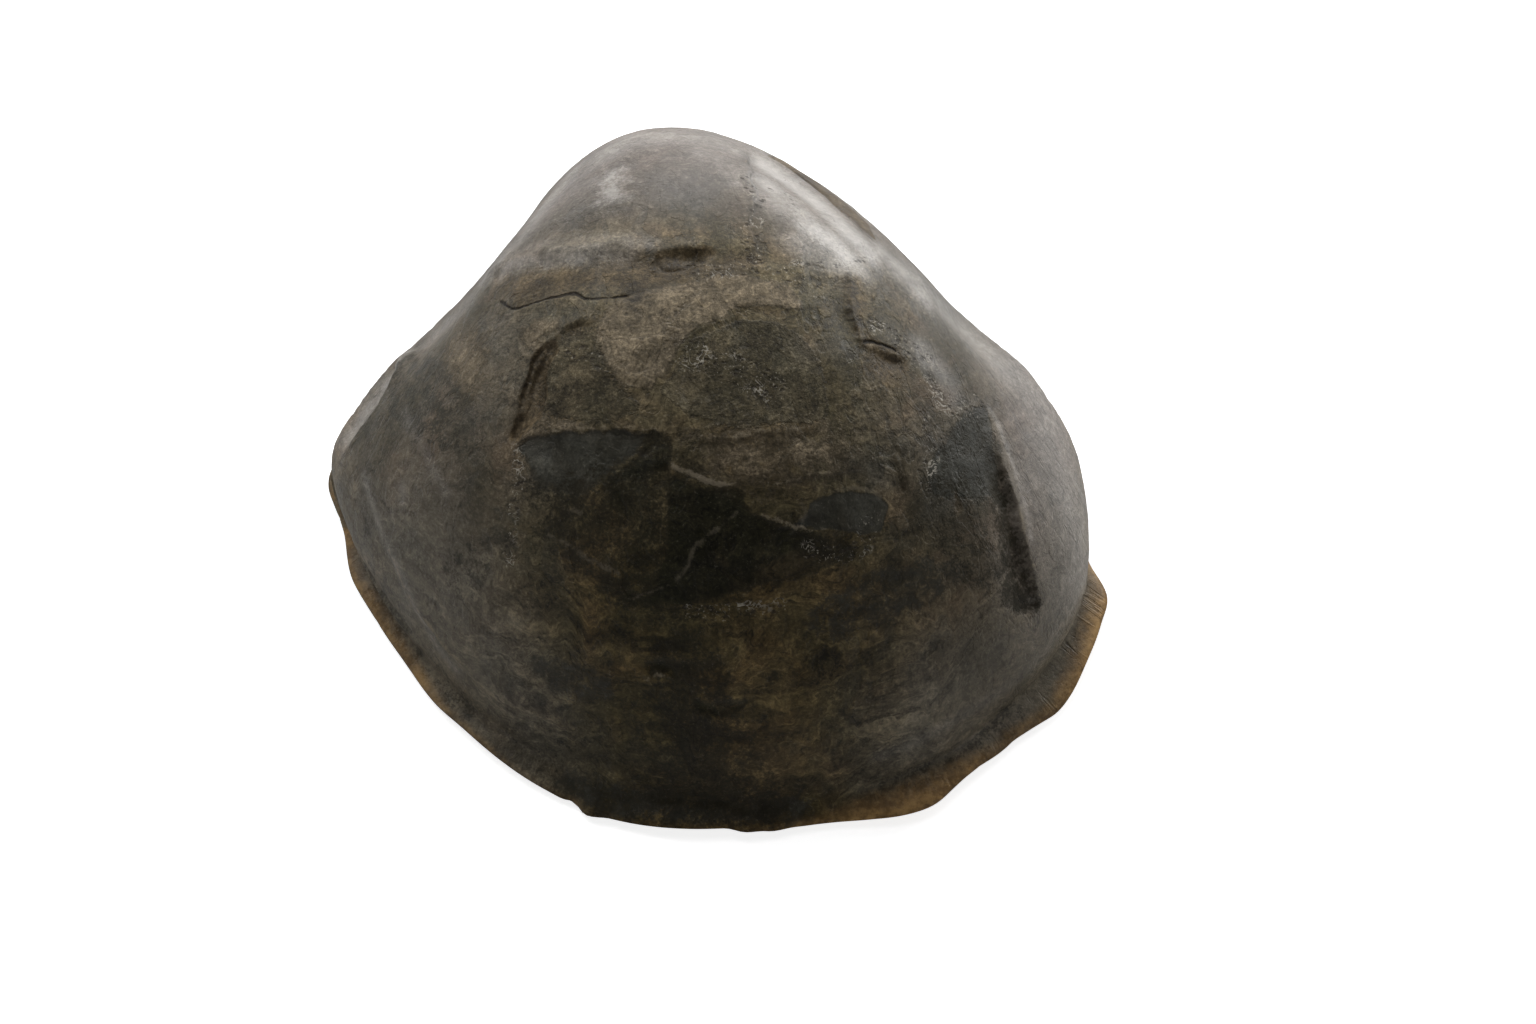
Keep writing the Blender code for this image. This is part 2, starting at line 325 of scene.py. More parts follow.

# Broken shell layers. Points are picture points; the low side is the side on which the layer below shows.
# Heights and widths are in mm: how far it drops, over what width (the wall), and how far it takes to rise again (the
# run); the height of its lip, how pale its edge is (partly worn, partly painted highlight), how much of its length each
# end takes to taper, and how wide the painted shade at its foot lies.
ledges = {
    "umboLip": {"low": "right", "drop": 0.6, "wall": 3.2, "run": 7.0, "lip": 0.42, "pale": 0.1, "points": [
        (478, 294), (488, 275), (503, 262), (540, 249), (600, 244), (652, 249), (700, 245), (740, 252)]},
    "mainCrack": {"low": "left", "drop": 0.2, "wall": 0.7, "run": 4.0, "lip": 0.1, "pale": 0.35, "points": [
        (496, 299), (512, 307), (539, 301), (570, 294), (588, 298), (609, 297), (636, 294), (664, 284), (692, 273),
        (713, 269), (754, 267), (800, 268), (850, 274)]},
    "leftLayer": {"low": "left", "drop": 0.5, "wall": 0.8, "run": 6.0, "lip": 0.15, "pale": 0.45, "points": [
        (604, 318), (585, 319), (566, 325), (552, 338), (542, 355), (532, 373), (527, 394), (519, 415), (512, 433)]},
    "lobedLayer": {"low": "right", "drop": 0.08, "wall": 0.5, "run": 5.0, "lip": 0.03, "pale": 0.3, "points": [
        (594, 326), (598, 345), (607, 366), (622, 384), (643, 388), (662, 378), (672, 366), (679, 352), (692, 333),
        (719, 322), (735, 317), (748, 304), (770, 303)]},
    "slateShelf": {"low": "right", "drop": 0.35, "wall": 0.4, "run": 8.0, "lip": 0.15, "pale": 0.6, "points": [
        (514, 447), (524, 438), (545, 433), (580, 431), (620, 430), (655, 431), (668, 439), (674, 453), (673, 464)]},
    "middleLip": {"low": "right", "drop": 0.15, "wall": 0.6, "run": 5.0, "lip": 0.12, "pale": 0.62, "points": [
        (690, 438), (730, 439), (760, 435), (795, 431), (828, 424)]},
    "upperBranch": {"low": "right", "drop": 0.18, "wall": 0.5, "run": 4.0, "lip": 0.1, "pale": 0.62, "points": [
        (745, 491), (765, 486), (787, 480), (826, 475), (845, 470), (872, 466)]},
    "lowerBranch": {"low": "right", "drop": 0.25, "wall": 0.4, "run": 4.0, "lip": 0.12, "pale": 0.68, "points": [
        (746, 510), (768, 520), (794, 527), (819, 531), (858, 533)]},
    "darkFloor": {"low": "left", "drop": 0.12, "wall": 0.8, "run": 6.0, "lip": 0.05, "pale": 0.3, "points": [
        (662, 606), (690, 604), (720, 600), (758, 592), (787, 582), (832, 569), (860, 552)]},
    "rightNotch": {"low": "right", "drop": 0.45, "wall": 0.8, "run": 6.0, "lip": 0.15, "pale": 0.45, "points": [
        (846, 268), (852, 285), (850, 305), (855, 325), (863, 343), (886, 351), (912, 362)]},
    "rightLobe": {"low": "right", "drop": 1.3, "wall": 0.8, "run": 9.0, "lip": 0.2,
        "pale": 0.55, "ends": (0.6, 0.03), "foot": 2.4, "points": [
        (984, 406), (990, 420), (997, 442), (1004, 463), (1011, 486), (1018, 508), (1025, 538), (1032, 568),
        (1038, 592), (1041, 608)]},
    "facetLine": {"low": "left", "drop": 0.45, "wall": 0.9, "run": 6.0, "lip": 0.12, "pale": 0.45, "points": [
        (744, 148), (752, 178), (751, 206), (757, 215), (748, 228), (756, 249), (754, 266)]},
    "leftCrest": {"low": "right", "drop": 1.4, "wall": 3.0, "run": 9.0, "lip": 0.75,
        "pale": 0.0, "ends": (0.1, 0.3), "points": [
        (414, 348), (404, 364), (391, 386), (376, 411), (359, 436), (343, 457), (333, 468)]},
    "smallLip": {"low": "left", "drop": 0.3, "wall": 0.5, "run": 2.5, "lip": 0.15, "pale": 0.72, "points": [
        (643, 684), (650, 676), (660, 674), (674, 681)]},
    "innerLine": {"low": "right", "drop": 0.3, "wall": 0.6, "run": 3.5, "lip": 0.1, "pale": 0.4, "points": [
        (893, 430), (900, 455), (904, 478), (908, 502)]},
    "lowerBand": {"low": "right", "drop": 0.15, "wall": 1.2, "run": 6.0, "lip": 0.18, "pale": 0.6, "points": [
        (835, 792), (870, 781), (905, 768), (940, 750), (975, 726), (1005, 700)]},
    "leftBand": {"low": "right", "drop": 0.25, "wall": 1.2, "run": 5.0, "lip": 0.2, "pale": 0.75, "points": [
        (372, 508), (390, 555), (413, 603), (440, 640), (470, 672), (497, 700), (530, 735)]},
    "shelfLip": {"low": "right", "drop": 0.35, "wall": 0.45, "run": 5.0, "lip": 0.12,
        "pale": 0.98, "ends": (0.1, 0.5), "points": [
        (666, 460), (674, 467), (684, 474), (704, 480), (736, 487), (762, 490)]},
    "seamTop": {"low": "left", "drop": 0.25, "wall": 0.6, "run": 3.0, "lip": 0.1, "pale": 0.3, "points": [
        (744, 149), (748, 165), (752, 178), (751, 190)]},
}
ledges = withDefaults(ledges, ends=(0.2, 0.2), foot=1.6)

# Closed patches: the kind of ground that shows there, and how far the surface drops inside (mm). Softness widens an
# edge, fade widens it downwards, and most caps the cover: 0 leaves it at half.
patches = {
    "umboHollow": {"kind": "brown", "drop": 0.26, "softness": 0.8, "points": [
        (655, 258), (664, 251), (690, 250), (708, 248), (717, 254), (706, 264), (686, 272), (663, 273)]},
    # brown band under the lip: partly brown stone, partly painted shade below the lip
    "underLipBrownAndShade": {"kind": "brown", "softness": 4.0, "points": [
        (504, 274), (560, 267), (620, 260), (700, 256), (750, 256), (762, 268), (700, 276), (640, 292), (570, 292),
        (512, 300)]},
    "smallHollow": {"kind": "brown", "drop": 0.08, "softness": 3.0, "points": [
        (592, 265), (604, 259), (620, 262), (618, 270), (602, 273)]},
    "leftCrevice": {"kind": "brown", "drop": 0.6, "softness": 0.6, "points": [
        (553, 338), (539, 348), (530, 365), (524, 385), (519, 405), (512, 425), (507, 440), (514, 445), (528, 431),
        (540, 413), (546, 397), (547, 378), (551, 362), (557, 350)]},
    "notchHollow": {"kind": "brown", "drop": 0.15, "softness": 2.0, "points": [
        (861, 343), (872, 340), (884, 346), (898, 353), (910, 361), (902, 372), (886, 370), (872, 360)]},
    "notchStain": {"kind": "brown", "softness": 5.0, "points": [
        (868, 356), (890, 360), (905, 370), (896, 388), (876, 384), (864, 370)]},
    "upperStain": {"kind": "brown", "softness": 4.0, "points": [
        (846, 282), (862, 286), (866, 318), (858, 334), (850, 312)]},
    "rightSpot": {"kind": "brown", "drop": 0.2, "softness": 1.5, "points": [
        (954, 494), (960, 498), (961, 510), (956, 512)]},
    "slateMiddle": {"kind": "slate", "softness": 0.8, "fade": 4.0, "points": [
        (519, 449), (528, 439), (545, 434), (580, 432), (625, 431), (648, 433), (640, 450), (622, 468), (600, 484),
        (572, 490), (546, 486), (530, 470)]},
    "umberBlob": {"kind": "dark", "softness": 1.0, "fade": 2.0, "points": [
        (646, 433), (657, 433), (668, 441), (673, 455), (670, 470), (655, 477), (630, 482), (604, 488), (616, 474),
        (634, 456)]},
    "slateRight": {"kind": "slate", "drop": 0.1, "softness": 0.8, "points": [
        (794, 526), (806, 514), (814, 501), (828, 494), (850, 491), (872, 494), (884, 503), (888, 518), (880, 532),
        (858, 533), (830, 530)]},
    "slateWedge": {"kind": "slate", "softness": 0.6, "fade": 1.5, "points": [
        (984, 407), (967, 409), (956, 424), (938, 448), (930, 480), (932, 497), (960, 500), (990, 497), (1011, 504),
        (1003, 478), (996, 455), (990, 428)]},
    # painted shadow cast by the raised right lobe into the groove
    "paintedGrooveShadow": {"kind": "dark", "softness": 3.0, "most": 0.12, "points": [
        (997, 480), (1007, 500), (1016, 530), (1026, 565), (1037, 607), (1011, 608), (1004, 580), (1002, 550),
        (998, 520), (994, 500)]},
    "slateBand": {"kind": "slate", "softness": 5.0, "most": 0.0, "points": [
        (812, 622), (830, 597), (862, 580), (902, 572), (946, 562), (956, 578), (920, 604), (880, 620), (846, 632)]},
    "slateLow": {"kind": "slate", "softness": 4.0, "most": 0.02, "points": [
        (528, 655), (560, 662), (606, 674), (606, 697), (562, 692), (541, 676)]},
    "slateSpot": {"kind": "slate", "softness": 5.0, "most": -0.13, "points": [
        (448, 560), (466, 552), (482, 560), (484, 578), (470, 592), (452, 584)]},
    "slateCheek": {"kind": "slate", "softness": 9.0, "most": -0.04, "points": [
        (410, 360), (430, 366), (456, 388), (474, 420), (462, 444), (430, 440), (402, 420), (394, 390)]},
    "slateFoot": {"kind": "slate", "softness": 4.0, "most": -0.1, "points": [
        (836, 804), (880, 790), (930, 768), (978, 738), (1010, 706), (1018, 716), (990, 748), (944, 780), (890, 802),
        (850, 812)]},
    "slateHeel": {"kind": "slate", "softness": 4.0, "most": -0.14, "points": [
        (360, 515), (378, 560), (400, 610), (436, 664), (478, 708), (470, 716), (424, 676), (388, 620), (366, 568)]},
    "slateToe": {"kind": "slate", "softness": 6.0, "points": [
        (566, 770), (610, 782), (700, 796), (800, 796), (800, 816), (700, 820), (620, 808), (570, 790)]},
    "darkFloor": {"kind": "dark", "drop": 0.05, "softness": 1.4, "points": [
        (673, 477), (704, 487), (742, 493), (747, 509), (780, 525), (832, 538), (858, 550), (832, 569), (787, 581),
        (758, 591), (704, 598), (678, 606), (650, 600), (660, 570), (666, 545), (664, 520), (668, 497)]},
    "umberField": {"kind": "dark", "softness": 14.0, "most": 0.1, "points": [
        (556, 508), (600, 492), (650, 478), (706, 492), (704, 560), (684, 602), (640, 600), (604, 588), (562, 548)]},
    "darkLens": {"kind": "dark", "drop": 0.3, "softness": 1.0, "points": [
        (690, 702), (712, 700), (745, 702), (735, 712), (718, 721), (703, 715)]},
    "darkSliver": {"kind": "dark", "drop": 0.2, "softness": 1.0, "points": [
        (800, 735), (812, 738), (836, 739), (826, 743), (812, 742)]},
    "darkStrip": {"kind": "dark", "drop": 0.12, "softness": 2.0, "points": [
        (648, 660), (672, 658), (716, 662), (720, 670), (680, 674), (648, 677)]},
    "darkSmudge": {"kind": "dark", "drop": 0.1, "softness": 2.0, "points": [
        (764, 674), (775, 672), (784, 676), (770, 680)]},
    "darkTrail": {"kind": "dark", "softness": 3.0, "points": [
        (584, 560), (600, 566), (640, 590), (672, 606), (650, 612), (615, 596), (590, 576)]},
    "darkFoot": {"kind": "dark", "softness": 14.0, "points": [
        (680, 640), (720, 700), (735, 760), (760, 810), (660, 815), (670, 750), (660, 690)]},
    "roughField": {"kind": "rough", "drop": 0.05, "softness": 0.9, "points": [
        (692, 340), (722, 330), (748, 318), (778, 322), (802, 338), (816, 360), (824, 386), (826, 414), (802, 424),
        (770, 424), (735, 427), (700, 420), (676, 408), (664, 392), (672, 374), (682, 354)]},
    "rightShade": {"kind": "dark", "softness": 8.0, "most": -0.14, "points": [
        (982, 408), (960, 424), (944, 460), (940, 510), (948, 545), (975, 575), (1012, 590), (1012, 540), (1004, 490),
        (994, 440)]},
    "roughCorner": {"kind": "rough", "softness": 2.5, "points": [
        (556, 345), (580, 330), (594, 336), (600, 356), (612, 378), (630, 392), (640, 404), (610, 420), (570, 420),
        (545, 408), (542, 380)]},
    "tanBand": {"kind": "tan", "drop": -0.04, "softness": 0.9, "points": [
        (618, 300), (650, 288), (700, 276), (750, 275), (790, 288), (800, 306), (770, 304), (742, 306), (718, 320),
        (690, 332), (676, 352), (672, 368), (660, 380), (643, 388), (622, 384), (606, 366), (598, 345), (596, 326)]},
    "tanCheek": {"kind": "tan", "softness": 5.0, "points": [
        (446, 340), (470, 330), (488, 345), (486, 378), (470, 402), (452, 384)]},
    "tanCorner": {"kind": "tan", "softness": 2.5, "points": [
        (520, 330), (548, 318), (560, 322), (546, 340), (532, 350)]},
    "tanShelf": {"kind": "tan", "softness": 1.2, "points": [
        (516, 443), (526, 430), (545, 420), (574, 421), (590, 428), (560, 431), (536, 435)]},
    "tanMiddle": {"kind": "tan", "softness": 9.0, "points": [
        (700, 436), (760, 432), (830, 426), (850, 462), (780, 478), (720, 478)]},
    "brightSpot": {"kind": "shine", "softness": 3.0, "points": [
        (606, 178), (616, 174), (622, 184), (616, 200), (606, 198)]},
}
patches = withDefaults(patches, drop=0.0, fade=0.0, most=4.0)

# Bands that lie against a line, on one side of it: width in mm.
strips = {
    "facetEdge": {"kind": "brown", "side": "left", "width": 4.2, "taper": 0.15, "crispness": 2.0, "points": [
        (762, 153), (780, 163), (799, 176), (817, 189), (838, 207), (860, 227), (878, 243)]},
}

# Thin lines, by kind: an open crack, a pale scratch, or painted shade at the foot of a layer. Width and depth are in
# mm.
cracks = {
    "mainCrack": {"width": 0.2, "depth": 0.25, "kind": "crack", "points": ledges["mainCrack"]["points"][:7]},
    "mainCrackRight": {"width": 0.42, "depth": 0.1, "kind": "foot", "points": [
        (612, 297), (640, 292), (664, 284), (692, 274), (716, 270), (752, 268)]},
    "hollowEdge": {"width": 0.5, "depth": 0.15, "kind": "foot", "points": [
        (656, 254), (658, 264), (666, 270), (684, 268), (700, 262)]},
    "facetFoot": {"width": 0.42, "depth": 0.22, "kind": "foot", "points": [
        (792, 170), (815, 187), (837, 207), (860, 228), (877, 244)]},
    "seamUpper": {"width": 0.55, "depth": 0.22, "kind": "foot", "points": [
        (745, 151), (749, 164), (753, 176), (751, 190)]},
    "seamMiddle": {"width": 0.34, "depth": 0.15, "kind": "foot", "points": [
        (752, 196), (757, 208), (755, 217), (750, 227)]},
    "seamLower": {"width": 0.4, "depth": 0.15, "kind": "foot", "points": [
        (750, 226), (757, 240), (757, 252), (753, 264)]},
    "lensMark": {"width": 0.22, "depth": 0.1, "kind": "foot", "points": [(803, 267), (814, 265), (825, 268)]},
    "notchCrack": {"width": 0.24, "depth": 0.25, "kind": "crack", "points": [
        (861, 342), (874, 341), (888, 348), (898, 353)]},
    "creviceEdge": {"width": 0.32, "depth": 0.1, "kind": "foot", "points": [
        (541, 348), (531, 365), (525, 386), (520, 406), (512, 428)]},
    "innerCrack": {"width": 0.45, "depth": 0.2, "kind": "foot", "points": [
        (894, 446), (900, 460), (903, 478), (906, 494)]},
    "lensLight": {"width": 0.3, "kind": "scratch", "points": [(802, 271), (814, 269), (826, 272)]},
    "paleScratch": {"width": 0.36, "depth": -0.05, "kind": "scratch", "points": [
        (544, 533), (570, 547), (595, 563), (624, 574)]},
    "paleVein": {"width": 0.3, "kind": "scratch", "points": [
        (742, 506), (723, 525), (704, 538), (694, 547), (688, 566), (672, 585)]},
    "veinTail": {"width": 0.24, "kind": "scratch", "points": [(672, 585), (650, 592), (630, 600)]},
    "paleStreak": {"width": 0.34, "depth": -0.05, "kind": "scratch", "points": [(561, 507), (572, 511), (584, 515)]},
    "slateCorner": {"width": 0.4, "kind": "scratch", "points": [(800, 500), (806, 512), (800, 524)]},
    "slateTop": {"width": 0.3, "kind": "scratch", "points": [(826, 494), (848, 489), (870, 491), (884, 500)]},
    "paleArc": {"width": 0.28, "depth": -0.05, "kind": "scratch", "points": [
        (493, 566), (488, 582), (476, 595), (462, 605), (448, 622)]},
    "paleLobe": {"width": 0.8, "kind": "scratch", "points": [
        (984, 405), (992, 416), (1001, 440), (1010, 468), (1018, 498), (1027, 540)]},
    "wedgeTop": {"width": 0.55, "depth": -0.05, "kind": "scratch", "points": [
        (942, 432), (956, 418), (968, 407), (984, 404)]},
}
cracks = withDefaults(cracks, depth=0.0)

# Gentle swells and dips: picture point, height and radius in mm.
swells = [
    (774, 160, -0.75, 5.0), (798, 176, -1.25, 7.0), (828, 198, -0.75, 7.0), (967, 326, -1.2, 6.0),
    (348, 430, -0.6, 6.0), (438, 334, -0.45, 6.0), (418, 349, -0.5, 4.0), (567, 176, -0.3, 8.0),
    (654, 134, 0.5, 12.0), (912, 266, 0.35, 7.0), (940, 296, 0.3, 7.0), (1064, 432, 0.3, 7.0), (396, 366, 0.4, 4.0),
]

# Painted highlight and sheen round these lines, laid as pale colour under a glossy coat: picture points, half width in
# mm and strength.
glossAndPaintedHighlightLines = {
    "facet": {"width": 3.4, "strength": 1.0, "points": [(766, 166), (794, 186), (820, 206), (846, 230), (868, 252)]},
    "facetMiddle": {"width": 3.8, "strength": 0.82, "points": [(764, 182), (790, 206), (816, 230), (846, 254)]},
    "crown": {"width": 3.6, "strength": 0.4, "points": [(606, 153), (640, 139), (700, 140), (740, 152)]},
    "besideFacet": {"width": 2.4, "strength": 0.3, "points": [(700, 152), (728, 165), (738, 182)]},
    "shoulder": {"width": 3.0, "strength": 0.3, "points": [
        (488, 276), (504, 258), (524, 236), (548, 202), (576, 168)]},
    "lipEdge": {"width": 1.6, "strength": 0.2, "points": [(496, 262), (540, 246), (600, 240), (650, 244)]},
    "beyondFacet": {"width": 4.0, "strength": 0.7, "points": [(884, 256), (904, 274), (922, 292)]},
    "rightBrowEdge": {"width": 2.4, "strength": 0.26, "points": [(922, 350), (940, 372), (954, 394)]},
    "upperFlank": {"width": 6.0, "strength": 0.46, "points": [(912, 276), (940, 305), (968, 335), (1005, 368)]},
    "rightFlank": {"width": 6.0, "strength": 0.36, "points": [
        (1016, 372), (1044, 412), (1062, 460), (1074, 520), (1078, 575)]},
    "leftCrest": {"width": 2.3, "strength": 0.58, "points": [
        (400, 360), (386, 376), (368, 401), (352, 424), (345, 436)]},
    "facetLow": {"width": 3.0, "strength": 0.5, "points": [(796, 240), (824, 256), (858, 266)]},
    "innerBrow": {"width": 1.8, "strength": 0.1, "points": [(850, 462), (868, 468), (880, 478)]},
    "leftLip": {"width": 2.2, "strength": 0.5, "points": [(506, 268), (545, 258), (590, 254), (625, 255)]},
    "rightBrow": {"width": 2.5, "strength": 0.08, "points": [(808, 350), (826, 346), (838, 352)]},
    "lobeEdge": {"width": 0.6, "strength": 0.34, "points": [
        (989, 408), (998, 424), (1006, 446), (1015, 472), (1024, 502), (1032, 540)]},
    "leftStreak": {"width": 1.0, "strength": 0.16, "points": [(405, 412), (418, 438), (430, 462), (446, 493)]},
    "leftSpot": {"width": 0.9, "strength": 0.26, "points": [(402, 488), (403, 500)]},
    "leftArc": {"width": 0.8, "strength": 0.2, "points": [
        (364, 476), (376, 516), (394, 560), (413, 600), (432, 640), (456, 672)]},
    "rightArc": {"width": 1.2, "strength": 0.13, "points": [
        (1062, 612), (1050, 644), (1030, 668), (1000, 692), (962, 716), (920, 740), (880, 756)]},
    "rightArcOuter": {"width": 1.2, "strength": 0.15, "points": [
        (1080, 640), (1062, 672), (1036, 700), (1000, 726), (960, 748)]},
    "leftShoulder": {"width": 3.0, "strength": 0.25, "points": [(430, 340), (450, 322), (470, 300)]},
}

# Chewed, pitted ground follows these lines: picture points and a half width in mm.
pitted = {
    "facetSeam": {"width": 2.6, "points": [(746, 178), (754, 195), (757, 214), (750, 232), (756, 262)]},
    "facetMarks": {"width": 2.2, "points": [(775, 190), (790, 200), (800, 215)]},
    "hollowTail": {"width": 2.6, "points": [(700, 272), (752, 268), (790, 278), (820, 292)]},
    "upperRight": {"width": 1.8, "points": [(795, 266), (830, 266), (870, 262)]},
    "notchGround": {"width": 3.6, "points": [(880, 330), (905, 345), (925, 362)]},
    "rightDiagonal": {"width": 3.0, "points": [(925, 375), (940, 398), (962, 412), (978, 404)]},
    "wedgeSide": {"width": 2.2, "points": [(925, 420), (932, 450), (926, 485)]},
    "innerGround": {"width": 2.6, "points": [(872, 520), (862, 545), (836, 556), (812, 548)]},
    "roughHeart": {"width": 4.5, "points": [(686, 352), (712, 360), (740, 372), (770, 384)]},
    "smallField": {"width": 2.2, "points": [(572, 352), (592, 356), (600, 362)]},
    "leftColumn": {"width": 2.0, "points": [(516, 450), (518, 490), (512, 520), (508, 560)]},
    "lowerGround": {"width": 2.0, "points": [(690, 612), (720, 612), (780, 606)]},
}

# The thin rim is amber along its edge, partly its own colour and partly painted light shining through it: picture
# points on the rim, and how wide the colour is there (mm).
# Chips push the rim out or in: picture point, distance and half width in mm.
rimSettings = {
    "height": 0.0016,
    "bandTop": 3.2,  # mm: the lowest band of the shell gives the rim
    "slots": 720,  # bearings at which the rim is measured
    "slotFill": 0.998,
    "amber": [
        (1040, 500, 0.0), (1088, 566, 1.4), (1105, 605, 3.0), (1090, 655, 2.8), (1070, 702, 2.8), (1050, 722, 2.0),
        (1000, 752, 1.4), (960, 778, 2.6), (930, 806, 4.2), (880, 818, 3.8), (832, 820, 1.6), (790, 826, 0.2),
        (700, 828, 0.0), (580, 804, 0.0), (500, 765, 0.4), (450, 716, 0.8), (400, 650, 1.8), (370, 612, 2.0),
        (350, 570, 1.6), (340, 530, 1.9), (334, 500, 2.0), (328, 478, 0.3)],
    "chips": [
        (745, 831, 0.7, 1.6), (770, 829, 0.5, 2.0), (576, 800, -0.7, 1.2), (588, 808, 0.8, 2.0), (612, 820, 0.8, 6.0),
        (679, 830, 0.6, 5.0), (1106, 592, 0.7, 3.0), (1100, 605, 0.6, 6.0), (1092, 648, 0.5, 5.0),
        (930, 806, 0.8, 5.0), (977, 768, 1.2, 7.0), (1000, 752, 0.3, 2.0), (885, 819, 0.5, 6.0), (802, 827, 0.4, 6.0),
        (367, 607, 0.8, 8.0), (396, 650, 0.4, 5.0), (330, 492, 1.0, 5.0), (424, 692, 0.3, 5.0)],
}


# How the features are cut into the shell. Lengths are in mm.
carveSettings = {
    "pastOutline": 0.06,  # the carving fades out as the surface turns this far away from the camera
    "markRange": (-4.0, 4.0),  # kept distances from an edge
    "raggedWaves": ((0.55, 7.0, 3), (0.25, 2.2, 4)),  # weight, size and seed
    "wornWaves": (0.28, 9.0, 8),
    "wander": {"edge": 0.45, "strip": 0.3, "crack": 0.25},  # how far each kind of line strays
    "waveCount": 14,
    "waveSpread": (0.6, 1.7),  # of the waves' sizes
    "waveHeight": 3.2,  # brings their sum to about 1
    "mmPerPoint": 0.14,
    "ledgeMargin": 3.0,
    "ledgeFade": 2.0,  # at the far end of a ledge's run
    "lipReach": 2.5,
    "paleReach": (0.25, 1.0),  # the pale edge, partly painted highlight, lies this far up from the wall, and is this wide
    "footPlace": (0.7, 0.3),  # painted shade lies this share of the wall down, and this far beyond
    "patchSlope": (0.5, 0.4),  # how a patch's softness turns into the width of its slope
    "patchMargin": 30.0,  # picture points
    "crackMargin": 15.0,  # picture points
    "crackSpread": (1.3, 4.0),  # the cut and the mark, in widths
    "crackTaper": (0.1, 0.25),  # the share of the length at each end, and how open it starts
    "stripMargin": 3.0,
    "groundMargin": 2.5,  # in widths
    "rimTop": 6.0,  # chips end this far up and this far in
    "amberTop": 3.6,
    "mostInward": 60.0,
}

# Finer faces beside the thin features: two rounds, each within a shorter reach (picture points).
refineSettings = {"reaches": (8.0, 3.0), "thinWall": 0.5, "softest": 2.0}

# The underside loses this share of its vertices, and the outside keeps its own.
undersideSettings = {"share": 0.75, "outside": 0.02, "hold": 10.0}


# A curve through picture points, at even spacing.
def curveThrough(points, closed=False, spacing=4.0):
    given = np.array(points, float)
    if closed:
        chain = np.vstack((given[-1:], given, given[:2]))
    else:
        chain = np.vstack((2 * given[:1] - given[1:2], given, 2 * given[-1:] - given[-2:-1]))
    curve = []
    for a, b, c, d in zip(chain, chain[1:], chain[2:], chain[3:]):
        steps = max(2, int(np.linalg.norm(c - b) / spacing))
        for t in np.arange(steps) / steps:
            bend = (2 * a - 5 * b + 4 * c - d) * t * t + (3 * b - a - 3 * c + d) * t ** 3
            curve.append(0.5 * (2 * b + (c - a) * t + bend))
    if not closed:
        curve.append(given[-1])
    return np.array(curve)


def surfaceOf(mesh, metres):
    return BVHTree.FromPolygons([tuple(place) for place in metres], [tuple(face.vertices) for face in mesh.polygons])


# Where picture points lie on the shell, in mm.
def onShell(surface, points):
    found = [surface.ray_cast(*rayThrough(x, y))[0] for x, y in points]
    return np.array([hit for hit in found if hit is not None]) / mm


# Distance of places to a line (mm), +1 where a place is left of it and -1 right, and the share of the way along.
def lineField(places, normals, line):
    distance = np.full(len(places), 1e6)
    side = np.ones(len(places))
    share = np.zeros(len(places))
    steps = np.linalg.norm(np.diff(line, axis=0), axis=1)
    travelled = np.concatenate(([0.0], np.cumsum(steps)))
    for index, (a, b) in enumerate(zip(line, line[1:])):
        edge = b - a
        if steps[index] < 1e-6:
            continue
        t = np.clip((places - a) @ edge / (edge @ edge), 0.0, 1.0)
        off = places - a - t[:, None] * edge
        away = np.sqrt((off * off).sum(axis=1))
        near = away < distance
        turned = (np.cross(edge, off[near]) * normals[near]).sum(axis=1)
        distance[near] = away[near]
        side[near] = np.where(turned >= 0, 1.0, -1.0)
        share[near] = (travelled[index] + t[near] * steps[index]) / travelled[-1]
    return distance, side, share


def insideOutline(points, outline):
    inside = np.zeros(len(points), bool)
    for (ax, ay), (bx, by) in zip(outline, np.roll(outline, -1, axis=0)):
        if ay == by:
            continue
        crosses = (ay > points[:, 1]) != (by > points[:, 1])
        inside ^= crosses & (points[:, 0] < (bx - ax) * (points[:, 1] - ay) / (by - ay) + ax)
    return inside


def boxedIn(points, line, margin):
    return ((points > line.min(axis=0) - margin) & (points < line.max(axis=0) + margin)).all(axis=1)


def easeIn(value):
    value = np.clip(value, 0.0, 1.0)
    return value * value * (3.0 - 2.0 * value)


# Smooth random waves of about the given size (mm), from -1 to 1, times a weight.
def waves(places, weight, size, seed):
    chance = np.random.default_rng(seed)
    total = np.zeros(len(places))
    for _ in range(carveSettings["waveCount"]):
        direction = chance.normal(size=3)
        direction *= 2 * math.pi / size * chance.uniform(*carveSettings["waveSpread"]) / np.linalg.norm(direction)
        total += np.sin(places @ direction + chance.uniform(0, 2 * math.pi))
    return weight * (total / carveSettings["waveHeight"])


def refineNear(mesh, rounds):
    work = bmesh.new()
    work.from_mesh(mesh)
    back = cameraAxes()[3]
    for reach, curves in zip(refineSettings["reaches"], rounds):
        work.verts.ensure_lookup_table()
        work.normal_update()
        places = np.array([vertex.co for vertex in work.verts])
        facing = np.array([vertex.normal for vertex in work.verts]) @ back > 0.0
        flat = pictureOf(places)
        near = np.zeros(len(places), bool)
        for curve in curves:
            close = np.flatnonzero(facing & boxedIn(flat, curve, reach))
            if len(close):
                gaps = np.linalg.norm(flat[close][:, None] - curve[None], axis=2).min(axis=1)
                near[close[gaps < reach]] = True
        edges = [edge for edge in work.edges if near[edge.verts[0].index] and near[edge.verts[1].index]]
        bmesh.ops.subdivide_edges(work, edges=edges, cuts=1, use_grid_fill=True)
    bmesh.ops.triangulate(work, faces=[face for face in work.faces if len(face.verts) > 4])
    work.to_mesh(mesh)
    work.free()


